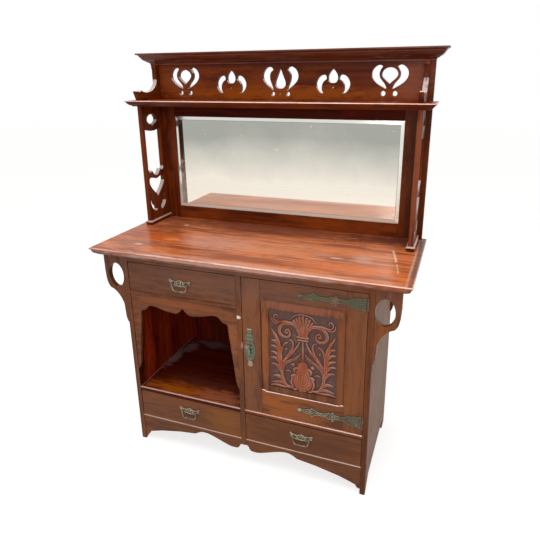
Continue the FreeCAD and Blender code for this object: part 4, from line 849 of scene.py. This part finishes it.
def smooth_line(points, spacing):
    """Points on a smooth line through the given ones, and how far along it each lies."""
    path = np.array(points, dtype=float)
    reach = np.vstack((2 * path[0] - path[1], path, 2 * path[-1] - path[-2]))
    count = int(np.hypot(*np.diff(path, axis=0).T).sum() / spacing) + 3
    place = np.linspace(0.0, len(path) - 1.0, count)
    first = np.minimum(place.astype(int), len(path) - 2)
    part = (place - first)[:, None]
    a, b, c, d = (reach[first + step] for step in range(4))
    line = b + part * ((c - a) / 2 + part * (a - 2.5 * b + 2 * c - d / 2
                                             + part * ((d - a) / 2 + 1.5 * (b - c))))
    return line, place / (len(path) - 1.0)


def stroke(points, widths, high, groove=0.0, fullness=2.0):
    """A raised stroke: its line, its half widths along it, its height, its groove and its section."""
    return points, widths, high, groove, fullness


def raised(u, v, strokes):
    """Heights in millimetres over the points (u, v) where the strokes stand on a flat ground."""
    heights = np.zeros(u.shape)
    for points, widths, high, groove, fullness in strokes:
        line, share = smooth_line(points, max(STEP_SHARE * min(widths), FINEST_STEP))
        width = np.interp(share, np.linspace(0.0, 1.0, len(widths)), widths)
        low = line.min(axis=0) - max(widths)
        top = line.max(axis=0) + max(widths)
        near = (u > low[0]) & (u < top[0]) & (v > low[1]) & (v < top[1])
        if not near.any():
            raise RuntimeError("A stroke of the relief lies off its ground")
        away = np.hypot(u[near][:, None] - line[:, 0], v[near][:, None] - line[:, 1]) / width
        across = away.min(axis=1)
        swell = high * np.clip(1.0 - across ** fullness, 0.0, 1.0) ** 0.5
        swell *= 1.0 - groove * np.exp(-(across / GROOVE_WIDTH) ** 2)
        heights[near] = np.maximum(heights[near], swell)
    return heights


def mirrored(u, v):
    """Fold a relief about its upright middle line."""
    return abs(u), v


def relief_piece(name, node, material, middle, half, pitch, ground, strokes, fold=mirrored,
                 rise=1.0, lift=0.0):
    """A closed slab in the plane Y = ground whose front carries a relief; fold(u, v) repeats it.

    rise multiplies the heights; lift raises the strokes clear of a plate that hides the slab's ground.
    """
    columns = round(2 * half[0] * MM / pitch)
    rows = round(2 * half[1] * MM / pitch)
    bm = bmesh.new()
    spread = Matrix.Diagonal((2 * half[0], 2 * half[1], 1.0, 1.0))
    bmesh.ops.create_grid(bm, x_segments=columns, y_segments=rows, size=0.5, matrix=spread)
    places = np.array([vert.co[:] for vert in bm.verts])
    heights = rise * raised(*fold(places[:, 0], places[:, 1]), strokes)
    order = np.lexsort((places[:, 0].round(3), places[:, 1].round(3)))
    surface = heights[order].reshape(rows + 1, columns + 1)
    level = np.pad(surface, 1, mode="edge")
    for turn in range(RIDGE_REACH):
        level = sum(np.roll(level, step, axis) for step in (-1, 1) for axis in (0, 1)) / 4
    sharpness = np.empty(len(order))
    sharpness[order] = (surface - level[1:-1, 1:-1]).ravel()
    raised_layer = bm.verts.layers.float.new("raised")
    ridge_layer = bm.verts.layers.float.new("ridge")
    tallest = heights.max()
    for vert, height, sharp in zip(bm.verts, heights, sharpness):
        vert.co.z = height + lift if height > 0.0 else 0.0
        vert[raised_layer] = height / tallest
        vert[ridge_layer] = min(max(0.5 + RIDGE_GAIN * sharp / tallest, 0.0), 1.0)
    rim = [edge for edge in bm.edges if edge.is_boundary]
    wall = bmesh.ops.extrude_edge_only(bm, edges=rim)["geom"]
    for vert in (item for item in wall if isinstance(item, bmesh.types.BMVert)):
        vert.co.z = -SLAB
    bmesh.ops.edgenet_fill(bm, edges=[edge for edge in bm.edges if edge.is_boundary])
    bmesh.ops.recalc_face_normals(bm, faces=bm.faces)
    stand = Matrix.Translation((middle[0] * MM, ground * MM, middle[1] * MM)) \
        @ Matrix.Rotation(math.radians(90), 4, "X") @ Matrix.Scale(MM, 4)
    bmesh.ops.transform(bm, matrix=stand, verts=bm.verts)
    return mesh_piece(name, bm, [material], BODY_OF[node], smooth=math.radians(180))


# The carving: distance from the middle line of the panel, height from the middle of its field.
ACANTHUS = [
    stroke([(36, -147.5), (57, -144.5), (69.5, -130.5), (77, -109.5), (81, -86.5), (85, -58.5), (86.5, -30.5),
            (87.5, -2.5), (92, 24.5), (100, 49.5), (116, 77)],
           (3, 4.5, 5.5, 6, 7, 8, 9, 9, 8, 6, 2), 5.6, 0.25),
    stroke([(93, 27), (101, 53), (110, 69), (119, 85)], (6, 6.5, 4, 1.5), 4.8, 0.2),
    stroke([(90, 6), (98, 28), (108, 35), (118.5, 36.5)], (6, 6.5, 4.5, 1.8), 4.8, 0.2),
    stroke([(88, -12), (98, 5), (109, 12), (122, 13.5)], (6, 6.5, 4.5, 1.8), 4.6, 0.2),
    stroke([(87, -36), (97, -20), (108, -13), (120.5, -10.5)], (6, 6.5, 4.5, 1.8), 4.8, 0.2),
    stroke([(86, -58), (97, -42), (109, -35), (123, -33.5)], (6, 6.5, 4.5, 1.8), 4.6, 0.2),
    stroke([(83, -86), (94, -69), (106, -62), (119.5, -60.5)], (5.5, 6.5, 4.5, 1.8), 4.8, 0.2),
    stroke([(74, -124), (86, -113), (99, -109), (114, -111)], (5, 7, 5, 1.8), 5.0, 0.25),
    stroke([(58, -143), (80, -135), (100, -136), (119.5, -140)], (4, 6.5, 5, 1.8), 4.8, 0.25),
    stroke([(50, -149), (78, -151), (102, -149), (124, -153)], (3, 5, 4.5, 1.8), 4.2, 0.2),
    stroke([(88, -32.5), (82, -2.5), (76, 17.5), (67, 30.5), (57, 35.5)], (5, 5, 4, 3, 2), 4.6, 0.3),
]
PALMETTE = [
    stroke([(0, 155), (20, 152), (36, 143.5), (49, 128.5)], (2.4, 2.2, 2, 1.6), 3.8),
    stroke([(0, 72), (0, 110), (0, 145)], (3, 5.6, 5.4), 5.2, 0.35),
    stroke([(3.5, 72), (8, 112), (13.5, 141)], (2.5, 4.4, 5.2), 5.0, 0.35),
    stroke([(6.5, 72), (15, 108), (24, 135)], (2.5, 4.4, 5), 4.8, 0.35),
    stroke([(9, 72), (21, 103), (34, 127)], (2.5, 4, 4.4), 4.6, 0.35),
    stroke([(11, 72), (27, 100), (42, 117)], (2, 3, 3), 4.2, 0.2),
]
SCROLLS = [
    stroke([(13, 70.5), (15, 84.5), (22, 101.5), (36, 112.5), (54, 114.5), (71.5, 110), (84, 97), (89, 81.5),
            (85.5, 68), (74, 58.5), (60, 57.5), (50.5, 65.5), (49, 78.5), (54.5, 88), (62, 86.5), (66, 79),
            (62, 72.5)], (3.5, 5, 6.5, 7, 7, 7, 7, 6.5, 6, 5.5, 5, 4.5, 4, 3.6, 3.4, 3, 2.6), 5.5, 0.3),
    stroke([(58.5, 76), (60.5, 76)], (4.4, 4.4), 5.4),
    stroke([(40, 117), (67, 119.5), (86, 115), (100, 114.5), (109, 123.5), (109, 134.5), (101, 140.5),
            (94, 136.5), (97, 128.5)], (2, 3.5, 3.2, 3, 3, 2.8, 2.4, 2, 1.6), 4.2),
    stroke([(90, 108.5), (104, 106.5), (115, 114.5), (118, 128)], (2, 4, 3.4, 1.6), 4.2, 0.2),
    stroke([(0, 65.5), (20, 65.5)], (3.8, 3.8), 5.7, 0.0, 3.0),
    stroke([(0, 54.5), (18, 54.5)], (3.6, 3.6), 5.4, 0.0, 3.0),
]
STEMS = [
    stroke([(0, 47), (0, 20), (0, -12)], (3, 3.8, 5), 4.8, 0.3),
    stroke([(0, -19.5), (3.5, -19.5)], (2.8, 2.8), 4.4), stroke([(0, -28.5), (3, -28.5)], (2.8, 2.8), 4.4),
    stroke([(12.5, 45.5), (22, 24.5), (34, 6.5), (48, -12.5), (62, -30.5), (73, -49.5), (79, -67.5)],
           (2.5, 3.5, 4.5, 4.5, 4.2, 3.6, 3), 5.0, 0.25),
    stroke([(50, 49.5), (41, 45.5), (36, 32.5), (41, 10.5), (53, -10.5), (68, -32.5), (80, -51.5)],
           (1.8, 2.6, 3.4, 4, 4, 3.4, 3), 4.8, 0.25),
    stroke([(8, 1.5), (15, -11.5), (31, -26.5), (50, -38.5), (66, -51.5), (74, -68.5), (77, -86.5)],
           (1.5, 4, 6.5, 6, 5, 4, 3), 4.8, 0.4),
    stroke([(56, 36.5), (66, 33.5), (75, 24.5)], (1.8, 2.8, 1.8), 3.8),
    stroke([(62, 8.5), (64, 8.5)], (3.8, 3.8), 3.8),
    stroke([(46, -82.5), (56, -78.5), (65.5, -82)], (2, 3, 2), 4.2),
    stroke([(36.5, -51.5), (37.5, -51.5)], (7.5, 7.5), 4.8),
]
CARTOUCHE = [
    stroke([(0, -53), (0, -75), (0, -97), (0, -118)], (19, 25, 31, 40), 5.0, 0.0, 5.0),
    stroke([(20, -60), (31, -68), (31, -80)], (4, 6, 3), 5.6),
    stroke([(30, -92), (40, -98), (38, -110)], (4, 6, 3), 5.6),
    stroke([(0, -78), (13.3, -85.6), (18.75, -104), (13.3, -122.4), (0, -130)], (3.4,) * 5, 6.3),
    stroke([(0, -98), (0, -110)], (12.5, 12.5), 5.4, 0.0, 2.4),
    stroke([(0, -38), (12, -41), (18, -50)], (2.8, 2.8, 2.2), 5.4),
    stroke([(33, -100), (41, -112), (43, -126), (37, -141)], (2.5, 4, 4.4, 3), 5.2),
    stroke([(3, -155.5), (12, -155)], (3, 3), 4.8), stroke([(24, -154), (36, -152)], (3.2, 3), 4.8),
]

# The straps: distance from the hinge, height from the middle line.
STRAP_RELIEF = [
    stroke([(2.5, 22), (16, 17.6), (27, 20), (37, 15.4), (48.5, 16.6), (56, 10.5), (66, 7), (80, 5.8)],
           (1.8, 1.8, 1.8, 1.8, 1.8, 1.7, 1.5, 1.4), 1.7),
    stroke([(80, 5.8), (92, 7), (99, 9.5), (104, 15.5), (110.5, 10.5), (120, 11.4), (128, 7.4), (142, 5.4),
            (157, 5.4), (168, 8.4), (176, 12.5), (182.5, 16), (191, 9.6), (204, 8.2), (212, 5.2), (218, 4)],
           (1.4, 1.5, 1.6, 1.8, 1.7, 1.7, 1.5, 1.3, 1.3, 1.5, 1.6, 1.8, 1.6, 1.5, 1.3, 1.3), 1.7),
    stroke([(2, 0), (2, 22)], (1.6, 1.6), 1.6),
    stroke([(52, 0), (30, 0), (9, 0)], (1.4, 2.6, 2), 1.6),
    stroke([(50, 3), (30, 6), (10, 9)], (1.2, 2.4, 2), 1.5),
    stroke([(46, 6), (30, 11.5), (14, 14.5)], (1.2, 2.2, 1.6), 1.4),
    stroke([(95, 0), (98, 6), (105, 9), (112, 6), (115, 0)], (1.6, 1.6, 1.8, 1.6, 1.6), 2.0),
    stroke([(104.5, 0), (105.5, 0)], (4.2, 4.2), 2.6),
    stroke([(60, 0), (92, 0)], (1.8, 1.4), 1.2), stroke([(119, 0), (150, 0), (177, 0)], (1.4, 2, 1.4), 1.2),
    stroke([(181, 0), (184, 5.4), (190, 7.8), (196, 5.4), (199, 0)], (1.5, 1.5, 1.6, 1.5, 1.5), 2.0),
    stroke([(189.5, 0), (190.5, 0)], (3.6, 3.6), 2.4), stroke([(202, 0), (221, 0)], (1.8, 1.3), 1.3),
    stroke([(103.5, 16.4), (104.5, 16.4)], (3, 3), 3.2), stroke([(120, 11.5), (121, 11.5)], (2.4, 2.4), 2.8),
    stroke([(182, 16), (183, 16)], (3, 3), 3.0), stroke([(229, 0), (231, 0)], (5.2, 5.2), 3.6),
]
# The escutcheon: distance from its middle line, height from the lock.
PULL_RELIEF = [
    stroke([(0, 73), (8, 73)], (2.2, 2.2), 2.0),
    stroke([(8.6, 70), (4.6, 63), (7.4, 56.5), (13.4, 48.5), (15.6, 38), (11.6, 25), (15.6, 10), (18.8, 2),
            (19.6, -10), (18.8, -25), (15, -37.5), (7.6, -54), (6, -62), (8, -74), (4.4, -79.6), (0, -80.6)],
           (1.3,) * 16, 1.5),
    stroke([(0, 60), (3, 63), (4, 68)], (1.2, 1.8, 1.2), 1.6),
    stroke([(0, 44), (5, 51), (10, 45)], (1.5, 2.6, 1.6), 1.9),
    stroke([(0, 28), (6, 36), (11, 29)], (1.5, 2.4, 1.5), 1.9),
    stroke([(0, 11), (8, 19), (13, 9)], (1.6, 2.8, 1.6), 1.9),
    stroke([(0, -6), (8, 3), (16, -5)], (1.6, 2.8, 1.6), 1.9),
    stroke([(0, -22), (9, -13), (16, -21)], (1.6, 2.8, 1.6), 1.9),
    stroke([(0, -38), (7, -29), (12.5, -36)], (1.5, 2.6, 1.5), 1.9),
    stroke([(0, -52), (4, -45), (8, -50)], (1.4, 2.2, 1.3), 1.8),
    stroke([(0, -68), (3.5, -61), (5.5, -69)], (1.3, 2, 1.2), 1.7),
    stroke([(0, -75), (4, -75)], (2, 1.6), 1.8),
]
# The drawer handle: distance from its middle line, height from its posts.
HANDLE_RELIEF = [
    stroke([(0, 3), (0.5, 3)], (7, 7), 3.4),
    stroke([(0, 12), (8, 8.4), (17, 5), (30, 6.8), (44.5, 13)], (1.8, 1.8, 1.7, 1.7, 1.4), 2.2),
    stroke([(0, -10.5), (6, -13), (13, -8.6), (18, -12.4), (23, -11.4), (28, -5.6), (34, -3), (42, -3)],
           (1.8, 1.8, 1.7, 1.7, 1.7, 1.6, 1.5, 1.3), 2.2),
    stroke([(11, 3), (15, -3), (20, -7)], (1.6, 2.4, 1.6), 2.2),
    stroke([(32, 2.5), (38, 3), (43.5, 8.5)], (1.8, 2.4, 1.4), 2.2),
    stroke([(20, 0), (22, 4.4), (26.5, 6.2), (31, 4.4), (33, 0), (31, -4), (26.5, -5.4), (22, -4), (20, 0)],
           (1.3,) * 9, 2.0),
]

UPPER_STRAP_MARKS = upright_marks(
    -222, 14,
    (425, 783, 50, 44, "#4d4b35", 0.7),
    (300, 783, 26, 30, "#50532f", 0.6)
) + upright_marks(
    -222, 15, (358, 783, 15, 12, "#8a5a40", 0.8)
)
LOWER_STRAP_MARKS = upright_marks(
    -222, 14,
    (418, 319, 56, 44, "#49462f", 0.75),
    (232, 319, 9, 9, "#b5a896", 0.6)
)
PULL_MARKS = upright_marks(
    -222, 14,
    (40, 476, 15, 13, "#b48f76", 0.9),
    (38, 620, 14, 6, "#a89782", 0.9),
    (26, 545, 6, 10, "#b89a88", 0.8)
)

# Each relief: the middle and the half size of its slab, in millimetres. A handle's has its middle a little
# below the top of its bail, and a strap's is as wide as its plate, less an inset at each end.
CARVING_MIDDLE, CARVING_HALF = (242.0, 552.5), (127.8, 159.8)
PULL_MIDDLE, PULL_HALF = (38.5, 546.0), (21.0, 82.0)
HANDLE_HALF = (46.0, 15.0)
HANDLE_BELOW_BAIL = 2.2
STRAP_HALF_HEIGHT = 24.5
STRAP_INSET = 1.0
# The sunk ground of the carving, and how much its strokes are raised over their drawn heights.
CARVING_GROUND = -210.6
CARVING_RISE = 1.25
# A cast relief starts inside the wood and rises through its plate, 2.5 mm thick.
BEHIND_FACE = -218.2
PLATE_LIFT = 3.1


class CarvePanel(bpy.types.Operator):
    """Carve the palmette, scrolls, acanthus and cartouche in the sunk field of the door panel."""
    bl_idname = "chiffonier.carve_panel"
    bl_label = "Carved panel"

    def execute(self, context):
        look = context.scene.chiffonier_finishes
        wood = carved_wood("Carved mahogany", look.carved_pale[:], look.carved_deep[:], look.carved_bloom_and_highlight[:])
        relief_piece("door_carving", "carved_panel", wood, CARVING_MIDDLE, CARVING_HALF,
                     context.scene.chiffonier_sizes.carving_pitch, CARVING_GROUND,
                     ACANTHUS + PALMETTE + SCROLLS + STEMS + CARTOUCHE, rise=CARVING_RISE)
        return {"FINISHED"}


# A bail is as packed this far down from its top, round its pivots; twice as far down it has its full swell.
PIVOT_REACH = 9.0 * MM
GRIP_SWELL = 0.7 * MM


def thickened(node, metal):
    """Stand a copy in for a bail that is fuller towards its grip."""
    bm = merged_copy(node)
    bm.normal_update()
    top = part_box(node)[1].z
    for vert in bm.verts:
        share = min(max((top - vert.co.z) / PIVOT_REACH - 1.0, 0.0), 1.0)
        vert.co += vert.normal * GRIP_SWELL * share
    return mesh_piece(node + "_casting", bm, [metal], BODY_OF[node], [node])


class CastBrasses(bpy.types.Operator):
    """Finish the drawer handles, the straps and the escutcheon, with their cast ornament."""
    bl_idname = "chiffonier.cast_brasses"
    bl_label = "Brasses"

    def execute(self, context):
        look = context.scene.chiffonier_finishes
        pitch = context.scene.chiffonier_sizes.casting_pitch
        brass = cast_metal("Aged cast brass", look.brass[:], look.tarnish[:], linear("#665843"), -0.15)
        bail = cast_metal("Handled cast brass", look.brass[:], look.tarnish[:], linear("#968972"), 0.55)
        for drawer in ("top_drawer", "left_drawer", "right_drawer"):
            low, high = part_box(drawer + "_handle_plate")
            paint(drawer + "_handle_plate", brass)
            thickened(drawer + "_bail", bail)
            middle = ((low.x + high.x) / 2 / MM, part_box(drawer + "_bail")[1].z / MM - HANDLE_BELOW_BAIL)
            relief_piece(drawer + "_handle_relief", drawer + "_handle_plate", brass,
                         middle, HANDLE_HALF, pitch, BEHIND_FACE, HANDLE_RELIEF, lift=PLATE_LIFT)
        upper = cast_metal("Verdigris brass, upper strap", linear("#a8a088"), linear("#433f2b"),
                           look.verdigris[:], -0.3, UPPER_STRAP_MARKS)
        lower = cast_metal("Verdigris brass, lower strap", linear("#bcae98"), linear("#3a3424"),
                           linear("#5a5038"), -0.22, LOWER_STRAP_MARKS)
        for node, metal in (("upper_strap_plate", upper), ("lower_strap_plate", lower)):
            low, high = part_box(node)
            middle = ((low.x + high.x) / 2 / MM, (low.z + high.z) / 2 / MM)
            half = (high.x - low.x) / 2 / MM
            paint(node, metal)
            relief_piece(node + "_relief", node, metal, middle,
                         (half - STRAP_INSET, STRAP_HALF_HEIGHT), pitch, BEHIND_FACE, STRAP_RELIEF,
                         lambda u, v: (half - u, abs(v)), lift=PLATE_LIFT)
        green = cast_metal("Verdigris brass, escutcheon", linear("#8f8d7c"), linear("#474b3a"),
                           linear("#62644f"), -0.2, PULL_MARKS)
        drop = cast_metal("Verdigris brass, drop", linear("#b4ab9c"), linear("#566052"),
                          linear("#7b8374"), 0.3)
        paint("pull_plate", green)
        paint("drop_pull", drop)
        relief_piece("pull_relief", "pull_plate", green, PULL_MIDDLE, PULL_HALF, pitch,
                     BEHIND_FACE, PULL_RELIEF, lift=PLATE_LIFT)
        return {"FINISHED"}


# --------------------------------------------------------------------------- stage

FRAME_PIXELS = 540.0
FOCAL_PIXELS = 498.95
OPTICAL_CENTRE_PIXELS = (283.14, 240.91)
CAMERA_PLACE = Vector((0.71202, -1.71503, 1.49887))
CAMERA_YAW = math.radians(19.83)
CAMERA_PITCH = math.radians(18.26)
CAMERA_ROLL = math.radians(-0.46)
SENSOR_WIDTH = 36.0
FLOOR_HALF = 14.0


def set_camera():
    """Stand the camera where a person would, a little to the right and looking down."""
    data = bpy.data.cameras.new("Camera")
    data.sensor_width = SENSOR_WIDTH
    data.lens = FOCAL_PIXELS / FRAME_PIXELS * SENSOR_WIDTH
    data.shift_x = (FRAME_PIXELS / 2 - OPTICAL_CENTRE_PIXELS[0]) / FRAME_PIXELS
    data.shift_y = (OPTICAL_CENTRE_PIXELS[1] - FRAME_PIXELS / 2) / FRAME_PIXELS
    camera = bpy.data.objects.new("Camera", data)
    bpy.context.scene.collection.objects.link(camera)
    ahead = Vector((-math.sin(CAMERA_YAW) * math.cos(CAMERA_PITCH),
                    math.cos(CAMERA_YAW) * math.cos(CAMERA_PITCH), -math.sin(CAMERA_PITCH)))
    level = Vector((math.cos(CAMERA_YAW), math.sin(CAMERA_YAW), 0.0))
    turn = Matrix.Rotation(-CAMERA_ROLL, 3, ahead)
    right = turn @ level
    up = turn @ level.cross(ahead)
    turned = Matrix((right, up, -ahead)).transposed().to_4x4()
    camera.matrix_world = Matrix.Translation(CAMERA_PLACE) @ turned
    bpy.context.scene.camera = camera


def seen_directly(tree):
    """One where a camera, glossy or transmission ray looks, zero for light that falls on things."""
    path = add(tree, "ShaderNodeLightPath")
    seen = path.outputs["Is Camera Ray"]
    for name in ("Is Glossy Ray", "Is Transmission Ray"):
        seen = add(tree, "ShaderNodeMath", {0: seen, 1: path.outputs[name]}, operation="MAXIMUM").outputs[0]
    return seen


def soft_box(name, place, target, width, depth, watts, shade):
    """A large soft lamp aimed at a point."""
    data = bpy.data.lights.new(name, "AREA")
    data.shape = "RECTANGLE"
    data.size = width
    data.size_y = depth
    data.energy = watts
    data.color = shade
    lamp = bpy.data.objects.new(name, data)
    lamp.location = place
    lamp.rotation_euler = (Vector(target) - Vector(place)).to_track_quat("-Z", "Y").to_euler()
    bpy.context.scene.collection.objects.link(lamp)
    return lamp


class SetStage(bpy.types.Operator):
    """Lay the pale floor, light it softly and place the camera."""
    bl_idname = "chiffonier.set_stage"
    bl_label = "Stage"

    def execute(self, context):
        scene = context.scene
        scene.view_settings.view_transform = "Standard"
        world = bpy.data.worlds.new("Overcast sky")
        scene.world = world
        world.use_nodes = True
        tree = world.node_tree
        tree.nodes.clear()
        # Looked at, the sky is plain white; the light that it gives is softer and a little blue.
        sky = add(tree, "ShaderNodeBackground", {"Color": (0.95, 0.97, 1.0, 1.0), "Strength": 0.5})
        white = add(tree, "ShaderNodeBackground", {"Color": WHITE, "Strength": 1.0})
        mix = add(tree, "ShaderNodeMixShader", {0: seen_directly(tree), 1: sky.outputs[0],
                                                2: white.outputs[0]})
        add(tree, "ShaderNodeOutputWorld", {"Surface": mix.outputs[0]})
        # Looked at, the floor glows a little, so that it stays pale and lights nothing else.
        material, tree = new_material("Pale floor")
        shader = add(tree, "ShaderNodeBsdfPrincipled", {"Base Color": linear("#bcbab6"), "Roughness": 0.9})
        glow = add(tree, "ShaderNodeEmission", {"Color": WHITE, "Strength": 0.7})
        dark = add(tree, "ShaderNodeEmission", {"Strength": 0.0})
        lift = add(tree, "ShaderNodeMixShader", {0: seen_directly(tree), 1: dark.outputs[0],
                                                 2: glow.outputs[0]})
        both = add(tree, "ShaderNodeAddShader", {0: shader.outputs[0], 1: lift.outputs[0]})
        add(tree, "ShaderNodeOutputMaterial", {"Surface": both.outputs[0]})
        bm = bmesh.new()
        bmesh.ops.create_grid(bm, x_segments=1, y_segments=1, size=FLOOR_HALF)
        mesh = bpy.data.meshes.new("Floor")
        bm.to_mesh(mesh)
        bm.free()
        mesh.materials.append(material)
        floor = bpy.data.objects.new("Floor", mesh)
        scene.collection.objects.link(floor)
        soft_box("Sky above", (0.2, -0.7, 3.6), (0.0, 0.0, 0.9), 3.2, 2.4, 64.0, (1.0, 0.98, 0.96))
        soft_box("Sky in front", (0.9, -3.4, 2.0), (0.0, 0.0, 0.7), 2.2, 1.6, 40.0, (1.0, 0.96, 0.93))
        set_camera()
        return {"FINISHED"}


# --------------------------------------------------------------------------- add-on


class ChiffonierPanel(bpy.types.Panel):
    """Lists the groups of pieces, their sizes and their colours."""
    bl_idname = "VIEW3D_PT_chiffonier"
    bl_label = "Chiffonier"
    bl_space_type = "VIEW_3D"
    bl_region_type = "UI"
    bl_category = "Chiffonier"

    def draw(self, context):
        for group in (context.scene.chiffonier_sizes, context.scene.chiffonier_finishes):
            for name in group.__annotations__:
                self.layout.prop(group, name)
        for operator in OPERATORS:
            self.layout.operator(operator.bl_idname)


OPERATORS = (SetStage, SoftenBoards, FinishLinings, SilverMirror, CarvePanel, CastBrasses)
CLASSES = (ChiffonierFinishes, ChiffonierSizes, *OPERATORS, ChiffonierPanel)


def register():
    """Register the classes and hang the settings on the scene."""
    for cls in CLASSES:
        bpy.utils.register_class(cls)
    bpy.types.Scene.chiffonier_finishes = PointerProperty(type=ChiffonierFinishes)
    bpy.types.Scene.chiffonier_sizes = PointerProperty(type=ChiffonierSizes)


def unregister():
    """Take the settings off the scene and unregister the classes."""
    del bpy.types.Scene.chiffonier_sizes
    del bpy.types.Scene.chiffonier_finishes
    for cls in reversed(CLASSES):
        bpy.utils.unregister_class(cls)


def main():
    """Dress the cabinet."""
    register()
    bpy.ops.chiffonier.set_stage()
    bpy.ops.chiffonier.soften_boards()
    bpy.ops.chiffonier.finish_linings()
    bpy.ops.chiffonier.silver_mirror()
    bpy.ops.chiffonier.carve_panel()
    bpy.ops.chiffonier.cast_brasses()


if __name__ == "__main__":
    main()
